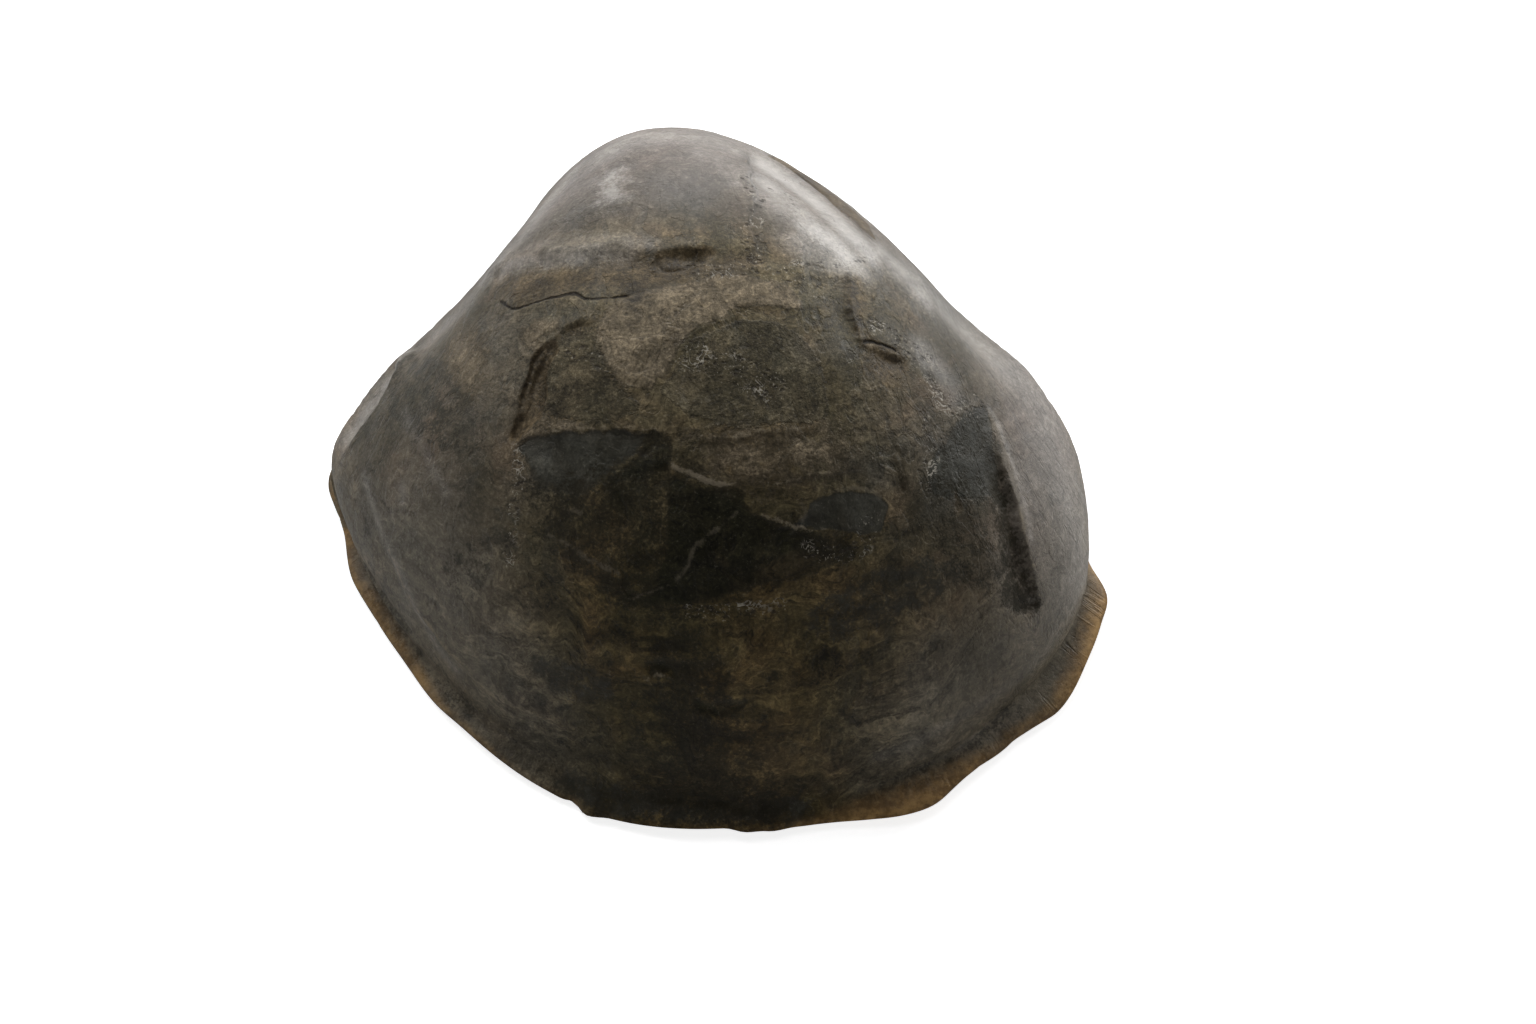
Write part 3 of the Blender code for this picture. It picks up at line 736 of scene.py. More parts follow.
def arrays(mesh):
    places = np.empty(len(mesh.vertices) * 3)
    mesh.vertices.foreach_get("co", places)
    normals = np.empty(len(mesh.vertices) * 3)
    mesh.vertices.foreach_get("normal", normals)
    return places.reshape(-1, 3), normals.reshape(-1, 3)


def movePlaces(mesh, metres):
    mesh.vertices.foreach_set("co", metres.ravel())
    mesh.update()


# Distance in from the outer rim (mm), from above, and the bearing of each place round the middle.
def rimField(places):
    bearing = np.arctan2(places[:, 1], places[:, 0])
    radius = np.hypot(places[:, 0], places[:, 1])
    low = places[:, 2] < rimSettings["bandTop"]
    slots = rimSettings["slots"]
    slot = ((bearing + math.pi) / (2 * math.pi) * slots).astype(int) % slots
    outer = np.zeros(slots)
    np.maximum.at(outer, slot[low], radius[low])
    outer = np.maximum(outer, np.maximum(np.roll(outer, 1), np.roll(outer, -1)) * rimSettings["slotFill"])
    return outer[slot] - radius, bearing


# The point under a picture point at the height of the rim, in mm.
def onRimPlane(x, y):
    eye, ray = rayThrough(x, y)
    reach = (rimSettings["height"] - eye.z) / ray.z
    return np.array(eye + ray * reach) / mm


# Fewer faces on the plain underside, to pay for the fine edges on top.
def thinUnderside(shell):
    mesh = shell.data
    outside = np.empty(len(mesh.vertices))
    mesh.attributes["outside"].data.foreach_get("value", outside)
    below = np.flatnonzero(outside < undersideSettings["outside"])
    group = shell.vertex_groups.new(name="underside")
    group.add([int(index) for index in below], 1.0, "REPLACE")
    modifier = shell.modifiers.new("thin", "DECIMATE")
    modifier.ratio = 1.0 - undersideSettings["share"] * len(below) / len(mesh.vertices)
    modifier.vertex_group = group.name
    modifier.vertex_group_factor = undersideSettings["hold"]
    settle(shell)
    shell.vertex_groups.clear()


# Pushes the broad swells out and the dips in.
def swellShell(mesh):
    metres, normals = arrays(mesh)
    surface = surfaceOf(mesh, metres)
    height = np.zeros(len(metres))
    for x, y, rise, radius in swells:
        spot = onShell(surface, [(x, y), (x - 4, y + 5), (x + 4, y + 5)])[0]  # the others stand in past the outline
        gap = np.linalg.norm(metres / mm - spot, axis=1)
        height += rise * np.exp(-((gap / radius) ** 2))
    movePlaces(mesh, metres + normals * (height * mm)[:, None])


# Finer faces along every crisp edge, and finer still along the thinnest.
def refineShell(mesh):
    thin = refineSettings["thinWall"]
    curves = [curveThrough(item["points"]) for item in [*ledges.values(), *cracks.values()]]
    curves += [curveThrough(item["points"], closed=True) for item in patches.values()
               if item["softness"] < refineSettings["softest"]]
    thinnest = [curveThrough(item["points"]) for item in cracks.values() if item["kind"] != "scratch"]
    thinnest += [curveThrough(item["points"]) for item in ledges.values() if item["wall"] <= thin]
    refineNear(mesh, (curves, thinnest))


# What the carving reads, and the depth and the marks that it fills in.
def readGround(mesh):
    metres, normals = arrays(mesh)
    places = metres / mm
    count = len(places)
    towards = normals @ cameraAxes()[3]
    past = carveSettings["pastOutline"]
    return SimpleNamespace(
        metres=metres, normals=normals, places=places, flat=pictureOf(metres), surface=surfaceOf(mesh, metres),
        facing=towards > -past, turning=easeIn((towards + past) / past),
        ragged=sum(waves(places, *row) for row in carveSettings["raggedWaves"]),
        worn=1 - carveSettings["wornWaves"][0] + waves(places, *carveSettings["wornWaves"]),
        height=np.zeros(count),
        masks={name: np.full(count, carveSettings["markRange"][0]) for name in patchKinds},
        lines={name: np.zeros(count) for name in lineKinds},
    )


def keepLargest(field, near, values):
    field[near] = np.maximum(field[near], values)


# The field of one line over the places near it, counted on its low side.
def fieldNear(ground, near, line, wander, low="left"):
    distance, side, share = lineField(ground.places[near], ground.normals[near], line)
    across = distance * side * (1 if low == "left" else -1) + wander * ground.ragged[near]
    return distance, across, share


def carveLedge(ground, ledge):
    curve = curveThrough(ledge["points"])
    margin = (ledge["run"] + carveSettings["ledgeMargin"]) / carveSettings["mmPerPoint"]
    near = ground.facing & boxedIn(ground.flat, curve, margin)
    line = onShell(ground.surface, curve)
    distance, down, share = fieldNear(ground, near, line, carveSettings["wander"]["edge"], ledge["low"])
    start, end = ledge["ends"]
    fade = carveSettings["ledgeFade"]
    taper = easeIn(share / start) * easeIn((1 - share) / end) * easeIn((ledge["run"] + fade - distance) / fade)
    dropped = easeIn(down / ledge["wall"])
    lip = ledge["lip"] * np.exp(np.minimum(down, 0) / carveSettings["lipReach"]) * (1 - dropped)
    drop = ledge["drop"] * dropped * (1 - easeIn((down - ledge["wall"]) / ledge["run"]))
    ground.height[near] += taper * ground.turning[near] * ground.worn[near] * (lip - drop)
    up, width = carveSettings["paleReach"]
    # pale edge above the wall: partly worn shell, partly painted highlight
    keepLargest(ground.lines["pale"], near, ledge["pale"] * taper * np.clip(1 - np.abs(down + up) / width, 0, 1))
    # painted shade at the foot of the ledge, darker below deeper drops
    share, beyond = carveSettings["footPlace"]
    foot = np.clip(1 - np.abs(down - share * ledge["wall"] - beyond) / ledge["foot"], 0, 1)
    keepLargest(ground.lines["foot"], near, taper * min(1.0, ledge["drop"]) * foot)


def carvePatch(ground, patch):
    curve = curveThrough(patch["points"], closed=True)
    near = ground.facing & boxedIn(ground.flat, curve, carveSettings["patchMargin"])
    outline = onShell(ground.surface, curve)
    flat = ground.flat[near]
    distance = fieldNear(ground, near, np.vstack((outline, outline[:1])), 0.0)[0]
    signed = np.where(insideOutline(flat, curve), distance, -distance)
    signed = signed + carveSettings["wander"]["edge"] * ground.ragged[near]
    share, least = carveSettings["patchSlope"]
    ground.height[near] -= patch["drop"] * easeIn(signed / (share * patch["softness"] + least)) * ground.turning[near]
    lowness = np.clip((flat[:, 1] - curve[:, 1].min()) / np.ptp(curve[:, 1]), 0, 1)
    signed = signed / (patch["softness"] * (1 + patch["fade"] * lowness)) - 2 * (1 - ground.turning[near])
    keepLargest(ground.masks[patch["kind"]], near, np.clip(signed, carveSettings["markRange"][0], patch["most"]))


def markStrip(ground, strip):
    line = onShell(ground.surface, curveThrough(strip["points"]))
    near = boxedIn(ground.places, line, strip["width"] + carveSettings["stripMargin"])
    _, across, share = fieldNear(ground, near, line, carveSettings["wander"]["strip"], strip["side"])
    signed = np.minimum(across, strip["width"] * easeIn(np.minimum(share, 1 - share) / strip["taper"]) - across)
    keepLargest(ground.masks[strip["kind"]], near, np.clip(strip["crispness"] * signed, *carveSettings["markRange"]))


def carveCrack(ground, crack):
    curve = curveThrough(crack["points"])
    near = ground.facing & boxedIn(ground.flat, curve, carveSettings["crackMargin"])
    line = onShell(ground.surface, curve)
    _, across, share = fieldNear(ground, near, line, carveSettings["wander"]["crack"])
    distance = np.abs(across)
    length, start = carveSettings["crackTaper"]
    taper = easeIn(np.minimum(share, 1 - share) / length + start)
    cut, mark = (crack["width"] * spread for spread in carveSettings["crackSpread"])
    ground.height[near] -= crack["depth"] * taper * np.clip(1 - distance / cut, 0, 1)
    keepLargest(ground.lines[crack["kind"]], near, taper * np.clip(1 - distance / mark, 0, 1))


# Lays painted highlight and sheen, or pitted ground, round a line.
def markGround(ground, name, item):
    line = onShell(ground.surface, curveThrough(item["points"]))
    near = boxedIn(ground.places, line, carveSettings["groundMargin"] * item["width"])
    distance = fieldNear(ground, near, line, 0.0)[0] / item["width"]
    value = item["strength"] * np.exp(-(distance ** 2)) if name == "glossAndPaintedHighlight" else np.clip(1 - distance, 0, 1)
    keepLargest(ground.lines[name], near, value)


# Chips the rim, and finds how far in each place lies and how much amber shows there.
def carveRim(ground):
    places = ground.places
    inward, bearing = rimField(places)
    top = carveSettings["rimTop"]
    for x, y, out, half in rimSettings["chips"]:
        spot = onRimPlane(x, y)
        gap = np.hypot(places[:, 0] - spot[0], places[:, 1] - spot[1])
        push = out * easeIn(1 - gap / (2 * half)) * (places[:, 2] < top) * easeIn(1 - inward / top)
        outwards = places[:, :2] / np.hypot(places[:, 0], places[:, 1])[:, None]
        ground.metres[:, :2] += outwards * push[:, None] * mm
    spots = ((onRimPlane(x, y), width) for x, y, width in rimSettings["amber"])
    knots = sorted((math.atan2(spot[1], spot[0]), width) for spot, width in spots)
    amber = np.interp(bearing, *zip(*knots), left=0.0, right=0.0) - inward
    least, most = carveSettings["markRange"]
    ground.masks["amber"] = np.clip(np.where(places[:, 2] < carveSettings["amberTop"], amber, least), least, most)
    ground.masks["inward"] = np.clip(inward, 0, carveSettings["mostInward"])


def carveShell(shell):
    swellShell(shell.data)
    refineShell(shell.data)
    thinUnderside(shell)
    mesh = shell.data
    ground = readGround(mesh)
    for carve, items in ((carveLedge, ledges), (carvePatch, patches), (markStrip, strips), (carveCrack, cracks)):
        for item in items.values():
            carve(ground, item)
    for name, items in (("glossAndPaintedHighlight", glossAndPaintedHighlightLines), ("pitted", pitted)):
        for item in items.values():
            markGround(ground, name, item)
    carveRim(ground)
    movePlaces(mesh, ground.metres + ground.normals * (ground.height * mm)[:, None])
    for name, values in {**ground.masks, **ground.lines}.items():
        mesh.attributes.new(name, "FLOAT", "POINT").data.foreach_set("value", values.astype(np.float32))
    mesh.shade_smooth()


# A shader group that gives a stored edge distance (mm) a ragged, crisp boundary, and the dark line along it.
def raggedEdgeGroup():
    inputs = {"Vector": "Vector", "Distance": "Float", "Jitter": "Float", "Softness": "Float"}
    tree, given, results = makeGroup("raggedEdge", "ShaderNodeTree", inputs, {"Mask": "Float", "Outline": "Float"})
    softness = given["Softness"]
    coarse = centred(noise(given["Vector"], *finishSettings["edgeNoises"]["coarse"]))
    fine = centred(noise(given["Vector"], *finishSettings["edgeNoises"]["fine"]))
    shifted = plus(given["Distance"], times(plus(coarse, times(fine, 0.5)), times(given["Jitter"], 3.0)))
    feed(results["Mask"], ramp(shifted, times(softness, -1.0), softness))
    rim = calc("ABSOLUTE", plus(shifted, times(softness, -0.4)))
    feed(results["Outline"], ramp(rim, times(softness, 1.1), times(softness, 0.2)))
    return tree


# A shader group for thin shell flakes that lie along the growth lines: a crisp ragged mask of random islands.
def flakesGroup():
    inputs = {"Vector": "Vector", "Growth": "Float", "Fan": "Float", "Size": "Float", "Cover": "Float", "Seed": "Float"}
    tree, given, results = makeGroup("shellFlakes", "ShaderNodeTree", inputs, {"Mask": "Float"})
    size = given["Size"]
    place = combine(times(given["Growth"], times(size, 1.9)), times(given["Fan"], size), given["Seed"])
    islands = noise(place, *finishSettings["flakeNoises"]["islands"])
    value = plus(islands, times(centred(noise(given["Vector"], *finishSettings["flakeNoises"]["edge"])), 0.10))
    cut = minus(1.0, given["Cover"])
    feed(results["Mask"], ramp(value, minus(cut, 0.015), plus(cut, 0.02)))
    return tree


# The stone's tones, linear: how strongly each is laid on, then one colour, or two that a noise blends.
tones = {
    "ground": (1.0, (0.070, 0.060, 0.036), (0.135, 0.114, 0.076)),
    "warm": (0.7, (0.132, 0.100, 0.062)),
    "cool": (0.5, (0.075, 0.073, 0.056)),
    "slateFlakes": (0.40, (0.062, 0.062, 0.051)),
    "paleFlakes": (0.32, (0.190, 0.158, 0.108)),
    "darkFlakes": (0.40, (0.042, 0.035, 0.021)),
    "front": (0.55, (0.036, 0.031, 0.016), (0.084, 0.064, 0.036)),
    "crown": (0.55, (0.215, 0.188, 0.155), (0.260, 0.232, 0.196)),
    "sideTint": (1.0, (1.05, 1.0, 0.86), (1.0, 0.99, 1.10)),
    "frontTint": (1.0, (1.08, 1.0, 0.80)),
    "lowFlank": (0.58, (0.160, 0.142, 0.110), (0.225, 0.200, 0.158)),
    "ring": (0.15, (0.064, 0.064, 0.052)),
    "tan": (0.75, (0.140, 0.110, 0.070), (0.228, 0.182, 0.122)),
    "rough": (0.7, (0.044, 0.038, 0.022), (0.105, 0.089, 0.056)),
    "slate": (0.85, (0.034, 0.034, 0.028), (0.056, 0.056, 0.047)),
    "dark": (0.88, (0.012, 0.012, 0.006), (0.027, 0.022, 0.012)),
    "glossAndPaintedHighlight": (0.80, (0.465, 0.432, 0.396)),
    "brown": (0.8, (0.058, 0.041, 0.021), (0.124, 0.091, 0.051)),
    "outline": (0.45, (0.030, 0.024, 0.013)),
    "squiggle": (0.72, (0.46, 0.425, 0.36)),
    "foot": (0.5, (0.026, 0.020, 0.011)),
    "pale": (0.6, (0.300, 0.252, 0.180)),
    "scratch": (0.30, (0.240, 0.205, 0.152)),
    "speckle": (1.0, (0.42, 0.385, 0.32)),
    "pits": (0.7, (0.026, 0.019, 0.012)),
    "crack": (0.85, (0.013, 0.010, 0.007)),
    "amber": (0.85, (0.270, 0.152, 0.054), (0.540, 0.325, 0.125)),
}

# Regions of the shell, each by the measures between which it sets in: metres, and mm for inward.
regions = {
    "crown": {"back": (0.018, 0.040), "height": (0.026, 0.040)},
    "flankPale": {"right": (0.041, 0.051), "height": (0.004, 0.016)},
    "umbo": {"back": (0.017, 0.027), "height": (0.022, 0.034)},
    "flanks": {"aside": (0.024, 0.042)},
    "front": {"back": (0.006, -0.036), "aside": (0.056, 0.012)},
    "side": {"aside": (0.014, 0.040), "height": (0.004, 0.022, 0.45, 1.0)},
    "frontTint": {"back": (-0.014, -0.036)},
    "lowFlank": {"inward": (18.0, 7.0), "back": (0.004, -0.018), "aside": (0.014, 0.034)},
    "awayFromRim": {"inward": (1.5, 6.0)},
}

finishSettings = {
    # noises over the stone: how many per metre, detail, roughness and distortion
    "noises": {"broad": (38.0, 5.0, 0.6, 0.8), "warmth": (75.0, 4.0, 0.62, 0.5), "medium": (190.0, 6.0, 0.7, 0.3),
               "fine": (850.0, 4.0, 0.75), "grain": (2300.0, 3.0, 0.7), "scales": (330.0, 4.0, 0.62, 0.4)},
    # noises along the growth lines and the fan: how many along and across, seed, detail, roughness and distortion
    "grown": {"bands": (80.0, 5.0, 3.0, 5.0, 0.72, 0.6), "streaks": (60.0, 8.0, 9.0, 4.0, 0.7),
              "lamellae": (230.0, 24.0, 17.0, 5.0, 0.7, 0.5), "smears": (52.0, 5.5, 23.0, 3.0, 0.55, 0.8)},
    "drift": 0.10,  # how far the warmth noise shifts them
    # thin flakes: size, cover and seed
    "flakes": {"slateFlakes": (9.0, 0.42, 2.0), "paleFlakes": (12.0, 0.39, 5.0), "darkFlakes": (15.0, 0.40, 11.0)},
    # edges of the broken places: jitter and softness
    "edges": {"slate": (0.45, 0.25), "rough": (0.7, 0.30), "tan": (0.7, 0.35), "dark": (0.65, 0.35),
              "brown": (0.45, 0.45), "shine": (0.9, 1.0)},
    "contrast": {"bands": 4.2, "streaks": 0.8, "medium": 1.3, "fine": 2.0, "grain": 2.0, "lamellae": 2.1,
                 "frontLamellae": 1.3, "scales": 0.10, "smears": 0.5, "frontSmears": 1.7},
    "edgeNoises": {"coarse": (420.0, 4.0, 0.65), "fine": (2200.0, 2.0, 0.6)},
    "flakeNoises": {"islands": (1.0, 3.0, 0.55, 0.4), "edge": (520.0, 4.0, 0.7)},
    # values of a noise or a measure between which a mask goes from 0 to 1
    "cuts": {"ground": (0.38, 0.62), "warm": (0.50, 0.64), "cool": (0.48, 0.34), "front": (0.42, 0.60),
             "grainy": (0.38, 0.62), "slate": (0.35, 0.65), "dark": (0.42, 0.60), "scales": (0.49, 0.54),
             "bandedGrowth": (0.40, 0.12), "bandedBroad": (0.48, 0.62), "ringOuter": (5.0, 6.5),
             "ringInner": (11.5, 9.5), "pale": (0.42, 0.85), "scratch": (0.62, 1.05), "foot": (0.35, 0.6),
             "crack": (0.62, 0.85), "chewed": (0.30, 0.60), "pitting": (0.52, 0.62), "pits": (0.34, 0.14),
             "specks": (0.60, 0.70), "squiggle": (0.030, 0.008), "squiggleField": (0.50, 0.60),
             "amber": (-1.6, 3.4), "amberEdge": (-1.2, 0.6), "amberTone": (0.30, 0.70),
             "roughness": (0.3, 0.7, 0.44, 0.60)},
    "calm": 0.52,  # how much calmer the pale ground is
    "leastGain": 0.15,
    "glossAndPaintedHighlightCalm": 0.55,
    "pitsPerMetre": 620.0,
    "pitShape": (1.0, 1.6, 1.3),
    "squigglesPerMetre": 430.0,
    "squiggleFieldsPerMetre": 160.0,
    "specular": 0.20,
    "coatRoughness": 0.38,
    # bumps: strength and height in metres
    "bumps": {"layers": (0.8, 0.00016), "lines": (0.6, 0.00028), "rock": (0.42, 0.00040), "grain": (0.4, 0.00010)},
}


def fossilShellFinish():
    material = bpy.data.materials.new("fossilShell")
    material.use_nodes = True
    tree = material.node_tree
    tree.nodes.clear()
    shader = tree.nodes.new("ShaderNodeBsdfPrincipled")
    addNode(tree, "ShaderNodeOutputMaterial", {"Surface": shader.outputs[0]})
    coords = tree.nodes.new("ShaderNodeTexCoord").outputs["Object"]
    groups = {"edge": raggedEdgeGroup(), "flakes": flakesGroup()}

    def attribute(name):
        return addNode(tree, "ShaderNodeAttribute", {}, attribute_type="GEOMETRY", attribute_name=name).outputs["Fac"]

    def edge(name):
        jitter, softness = finishSettings["edges"][name]
        inputs = {"Vector": coords, "Distance": attribute(name), "Jitter": jitter, "Softness": softness}
        return addNode(tree, "ShaderNodeGroup", inputs, node_tree=groups["edge"]).outputs

    def flakes(name):
        size, cover, seed = finishSettings["flakes"][name]
        inputs = {"Vector": coords, "Growth": growth, "Fan": fan, "Size": size, "Cover": cover, "Seed": seed}
        return addNode(tree, "ShaderNodeGroup", inputs, node_tree=groups["flakes"]).outputs["Mask"]

    def grown(name, first, second):
        along, across, seed, *shape = finishSettings["grown"][name]
        return noise(combine(times(first, along), times(second, across), seed), 1.0, *shape)

    def region(name):
        return reduce(times, [ramp(measures[measure], *limits) for measure, limits in regions[name].items()])

    def cut(name, value):
        return ramp(value, *finishSettings["cuts"][name])

    def lay(name, mask, share=None):  # lays a tone over the colour so far
        strength, *choice = tones[name]
        tone = choice[0] if share is None else blend(share, *choice)
        return blend(mask if strength == 1.0 else times(mask, strength), colour, tone)

    growth, fan, inward = (attribute(name) for name in ("growth", "fan", "inward"))
    right, back, height = split(coords)
    measures = {"right": right, "back": back, "height": height, "aside": calc("ABSOLUTE", right), "inward": inward}
    broad, warmth, medium, fine, grain, scales = (noise(coords, *shape) for shape in finishSettings["noises"].values())
    drift = times(centred(warmth), finishSettings["drift"])
    bands = grown("bands", plus(growth, drift), fan)
    streaks = grown("streaks", plus(fan, drift), growth)
    lamellae = grown("lamellae", plus(growth, drift), fan)
    smears = grown("smears", plus(growth, times(drift, 0.6)), fan)
    banded = plus(times(cut("bandedGrowth", growth), 0.75), times(cut("bandedBroad", broad), 0.45), clamp=True)
    crown, flankPale, umbo, flanks, front, side, frontTint, lowFlank, awayFromRim = (region(name) for name in regions)
    busy = minus(1.0, times(larger(times(umbo, 0.9), flanks), finishSettings["calm"]))  # calmer on the pale ground

    # the stone: olive grey to umber, with paler taupe where it is worn
    colour = blend(cut("ground", broad), *tones["ground"][1:])
    colour = lay("warm", cut("warm", warmth))
    colour = lay("cool", cut("cool", warmth))
    slateFlakes, paleFlakes, darkFlakes = (flakes(name) for name in finishSettings["flakes"])
    colour = lay("slateFlakes", times(slateFlakes, busy))
    colour = lay("paleFlakes", times(paleFlakes, busy))
    colour = lay("darkFlakes", times(darkFlakes, busy))

    # browner and darker low at the front; paler on the crown and the right flank, partly their own paler grey and
    # partly painted sheen
    colour = lay("front", front, cut("front", warmth))
    colour = lay("crown", larger(crown, times(flankPale, 0.8)), broad)

    # greyer towards both sides, warmer at the front, and paler on the low flanks near the rim as painted light that
    # lifts the shade of the rim's hollow
    colour = blend(1.0, colour, blend(larger(side, times(umbo, 0.95)), *tones["sideTint"][1:]), "MULTIPLY")
    colour = blend(frontTint, colour, blend(1.0, colour, tones["frontTint"][1], "MULTIPLY"))
    colour = lay("lowFlank", lowFlank, warmth)

    # a slate ring just inside the rim
    outer = cut("ringOuter", plus(inward, times(medium, 4.0)))
    inner = cut("ringInner", plus(inward, times(medium, 5.0)))
    colour = lay("ring", times(outer, inner))

    # places where layers have broken away
    edges = [edge(name) for name in finishSettings["edges"]]
    slate, rough, tan, dark, brown, shine = (item["Mask"] for item in edges)
    outline = reduce(larger, [item["Outline"] for item in edges[:4]])
    # painted highlight and sheen: one mask gives the pale colour and the glossy coat
    glossAndPaintedHighlight = larger(shine, times(attribute("glossAndPaintedHighlight"), wave(medium, 1.6)), clamp=True)
    grainy = cut("grainy", medium)
    colour = lay("tan", tan, grainy)
    colour = lay("rough", rough, grainy)
    colour = lay("slate", slate, cut("slate", medium))
    colour = lay("dark", dark, cut("dark", warmth))
    colour = lay("glossAndPaintedHighlight", glossAndPaintedHighlight)
    colour = lay("brown", brown, grainy)
    glossAndPaintedHighlight = times(glossAndPaintedHighlight, minus(1.0, times(brown, tones["brown"][0])))

    # growth lines, ribs, scales and grain
    contrast = finishSettings["contrast"]
    lineTone = times(centred(bands), times(banded, contrast["bands"]))
    gain = plus(times(times(centred(streaks), contrast["streaks"]), awayFromRim), 1.0)
    for name, value in (("medium", medium), ("fine", fine), ("grain", grain)):
        gain = times(gain, wave(value, contrast[name]))
    frontLines = times(centred(lamellae), times(front, contrast["frontLamellae"]))
    layered = plus(wave(lamellae, contrast["lamellae"]), frontLines)
    gain = times(times(plus(gain, lineTone), layered), wave(cut("scales", scales), contrast["scales"]))
    strength = times(minus(1.12, plus(times(slate, 0.5), times(front, 0.22))), busy)
    gain = plus(times(minus(gain, 1.0), strength), 1.0)
    smeared = times(centred(smears), plus(times(front, contrast["frontSmears"]), contrast["smears"]))
    gain = larger(times(gain, plus(smeared, 1.0)), finishSettings["leastGain"])
    # the painted highlight evens out the grain below it
    even = times(glossAndPaintedHighlight, finishSettings["glossAndPaintedHighlightCalm"])
    gain = plus(times(gain, minus(1.0, even)), even)
    colour = blend(1.0, colour, combine(gain, gain, gain), "MULTIPLY")

    # pale broken lips, painted shade at their foot, cracks, pits and specks
    fray = plus(times(centred(fine), 1.5), times(centred(medium), 1.3))
    # pale lips: partly worn shell, partly painted highlight
    pale = cut("pale", plus(attribute("pale"), fray))
    scratch = cut("scratch", plus(attribute("scratch"), times(fray, 0.7)))
    # painted shade at the foot of layers and along seams
    foot = times(attribute("foot"), cut("foot", medium))
    crack = cut("crack", plus(attribute("crack"), times(fray, 0.45)))
    chewed = cut("chewed", plus(attribute("pitted"), times(fray, 0.6)))
    stretched = vectorCalc("MULTIPLY", coords, finishSettings["pitShape"])
    cells = addOutputs("ShaderNodeTexVoronoi", {"Vector": stretched, "Scale": finishSettings["pitsPerMetre"]})
    pitting = plus(times(cut("pitting", broad), 0.25), chewed, clamp=True)
    pits = times(cut("pits", plus(cells["Distance"], times(centred(grain), 0.5))), pitting)
    speckle = times(cut("specks", grain), plus(times(larger(times(rough, 0.15), chewed), 0.80), 0.10))
    squiggle = calc("ABSOLUTE", centred(noise(coords, finishSettings["squigglesPerMetre"], 2.0, 0.5, 1.4)))
    squiggleField = cut("squiggleField", noise(coords, finishSettings["squiggleFieldsPerMetre"]))
    squiggle = times(times(cut("squiggle", squiggle), squiggleField), larger(times(rough, 0.12), chewed))
    for name, mask in (("outline", outline), ("squiggle", squiggle), ("foot", foot), ("pale", pale),
                       ("scratch", scratch), ("speckle", speckle), ("pits", pits), ("crack", crack)):
        colour = lay(name, mask)

    # thin amber rim, strongest at its edge: partly its own colour, partly painted light shining through the rim
    amber = attribute("amber")
    amber = times(cut("amber", plus(amber, times(centred(medium), 3.0))), cut("amberEdge", amber))
    colour = lay("amber", amber, cut("amberTone", plus(fine, centred(medium))))
    feed(shader.inputs["Base Color"], colour)

    roughness = plus(cut("roughness", medium), times(rough, 0.2))
    roughness = minus(roughness, times(larger(slate, slateFlakes), 0.07))
    roughness = minus(roughness, times(glossAndPaintedHighlight, 0.18))
    feed(shader.inputs["Roughness"], plus(roughness, times(pale, 0.15), clamp=True))
    shader.inputs["Specular IOR Level"].default_value = finishSettings["specular"]
    shader.inputs["Coat Roughness"].default_value = finishSettings["coatRoughness"]
    coated = larger(times(glossAndPaintedHighlight, 0.9), times(larger(crown, flankPale), 0.35))
    feed(shader.inputs["Coat Weight"], times(coated, minus(1.0, larger(brown, larger(slate, dark)))))

    # layers, growth lines, rock and grain, each bumped over the last
    layers = plus(times(plus(slate, plus(dark, brown)), -0.3), times(tan, 0.3))
    layers = plus(layers, times(minus(paleFlakes, plus(slateFlakes, darkFlakes)), 0.5))
    layers = minus(layers, times(crack, 1.2))
    lined = plus(times(plus(bands, times(streaks, 0.35)), banded), times(lamellae, 0.35))
    lined = times(lined, larger(awayFromRim, 0.15))
    rocky = plus(medium, times(fine, plus(times(rough, 1.2), 0.4)))
    rocky = minus(times(rocky, minus(1.0, times(front, 0.5))), times(pits, 0.8))
    normal = None
    for height, (strength, distance) in zip((layers, lined, rocky, grain), finishSettings["bumps"].values()):
        inputs = {"Strength": strength, "Distance": distance, "Height": height, "Normal": normal}
        normal = addOutputs("ShaderNodeBump", inputs)[0]
    feed(shader.inputs["Normal"], normal)
    return material


# Plain pale floor and soft studio light. The large lamps stand behind the shell, so its front falls off into shade.
lightSettings = {
    "lamps": {
        "backRight": {"bearing": 45.0, "elevation": 12.0, "power": 6.0},
        "back": {"bearing": 90.0, "elevation": 33.0, "power": 6.2},
        "backLeft": {"bearing": 135.0, "elevation": 37.0, "power": 3.4},
        "top": {"bearing": 120.0, "elevation": 66.0, "power": 1.3},
        "frontRight": {"bearing": 318.0, "elevation": 14.0, "power": 0.9},
        "frontLeft": {"bearing": 222.0, "elevation": 14.0, "power": 0.8},
    },
    "size": 0.60,
    "distance": 1.0,
    "aim": (0.0, 0.0, 0.02),
    "world": 0.03,
    "floor": (0.90, 0.90, 0.90),
    "floorRoughness": 0.9,
    "floorGlow": 0.80,  # evens out the pale floor for the camera only
    "floorHalf": 3.0,
}


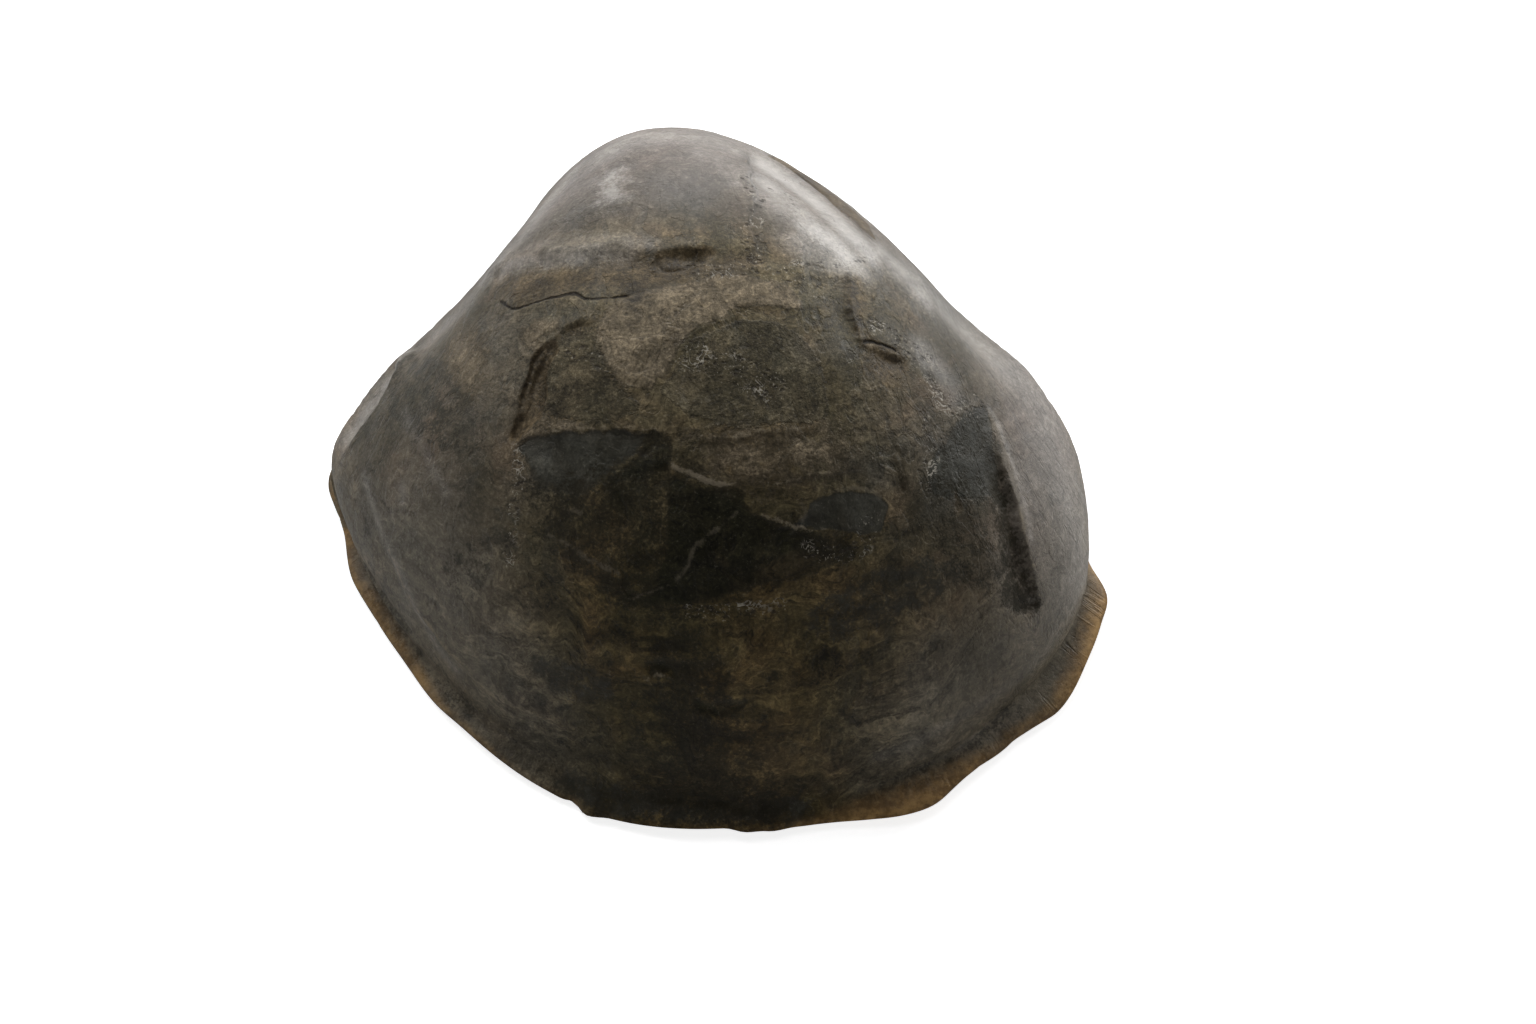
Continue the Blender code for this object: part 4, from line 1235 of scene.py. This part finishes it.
def makeLamp(name, lamp):
    data = bpy.data.lights.new(name, "AREA")
    data.shape = "DISK"
    data.size = lightSettings["size"]
    data.energy = lamp["power"]
    bearing, elevation = math.radians(lamp["bearing"]), math.radians(lamp["elevation"])
    level = math.cos(elevation)
    away = Vector((level * math.cos(bearing), level * math.sin(bearing), math.sin(elevation)))
    item = bpy.data.objects.new(name, data)
    item.location = Vector(lightSettings["aim"]) + away * lightSettings["distance"]
    item.rotation_euler = (-away).to_track_quat("-Z", "Y").to_euler()
    bpy.context.scene.collection.objects.link(item)


def palePaper():
    paper = bpy.data.materials.new("palePaper")
    paper.use_nodes = True
    inputs = paper.node_tree.nodes["Principled BSDF"].inputs
    feed(inputs["Base Color"], lightSettings["floor"])
    feed(inputs["Roughness"], lightSettings["floorRoughness"])
    feed(inputs["Emission Color"], (1.0, 1.0, 1.0))
    seen = paper.node_tree.nodes.new("ShaderNodeLightPath").outputs["Is Camera Ray"]
    feed(inputs["Emission Strength"], times(seen, lightSettings["floorGlow"]))
    return paper


def makeStudio():
    for name, lamp in lightSettings["lamps"].items():
        makeLamp(name, lamp)
    world = bpy.data.worlds.new("studio")
    world.use_nodes = True
    background = world.node_tree.nodes["Background"].inputs
    feed(background["Color"], (1.0, 1.0, 1.0))
    feed(background["Strength"], lightSettings["world"])
    bpy.context.scene.world = world
    half = lightSettings["floorHalf"]
    mesh = bpy.data.meshes.new("floor")
    mesh.from_pydata([(-half, -half, 0), (half, -half, 0), (half, half, 0), (-half, half, 0)], [], [(0, 1, 2, 3)])
    mesh.materials.append(palePaper())
    floor = bpy.data.objects.new("floor", mesh)
    bpy.context.scene.collection.objects.link(floor)
    bpy.context.scene.view_settings.view_transform = "Standard"


finish = fossilShellFinish()
print("shell finish made")
shell = growShell(copyShell(), finish)
print("growth lines raised:", len(shell.data.polygons), "faces")
carveShell(shell)
shell.data.calc_loop_triangles()
print("broken layers carved:", len(shell.data.loop_triangles), "triangles")
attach(shell, "root")
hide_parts("brachiopod_shell")
makeStudio()
print("studio lit")
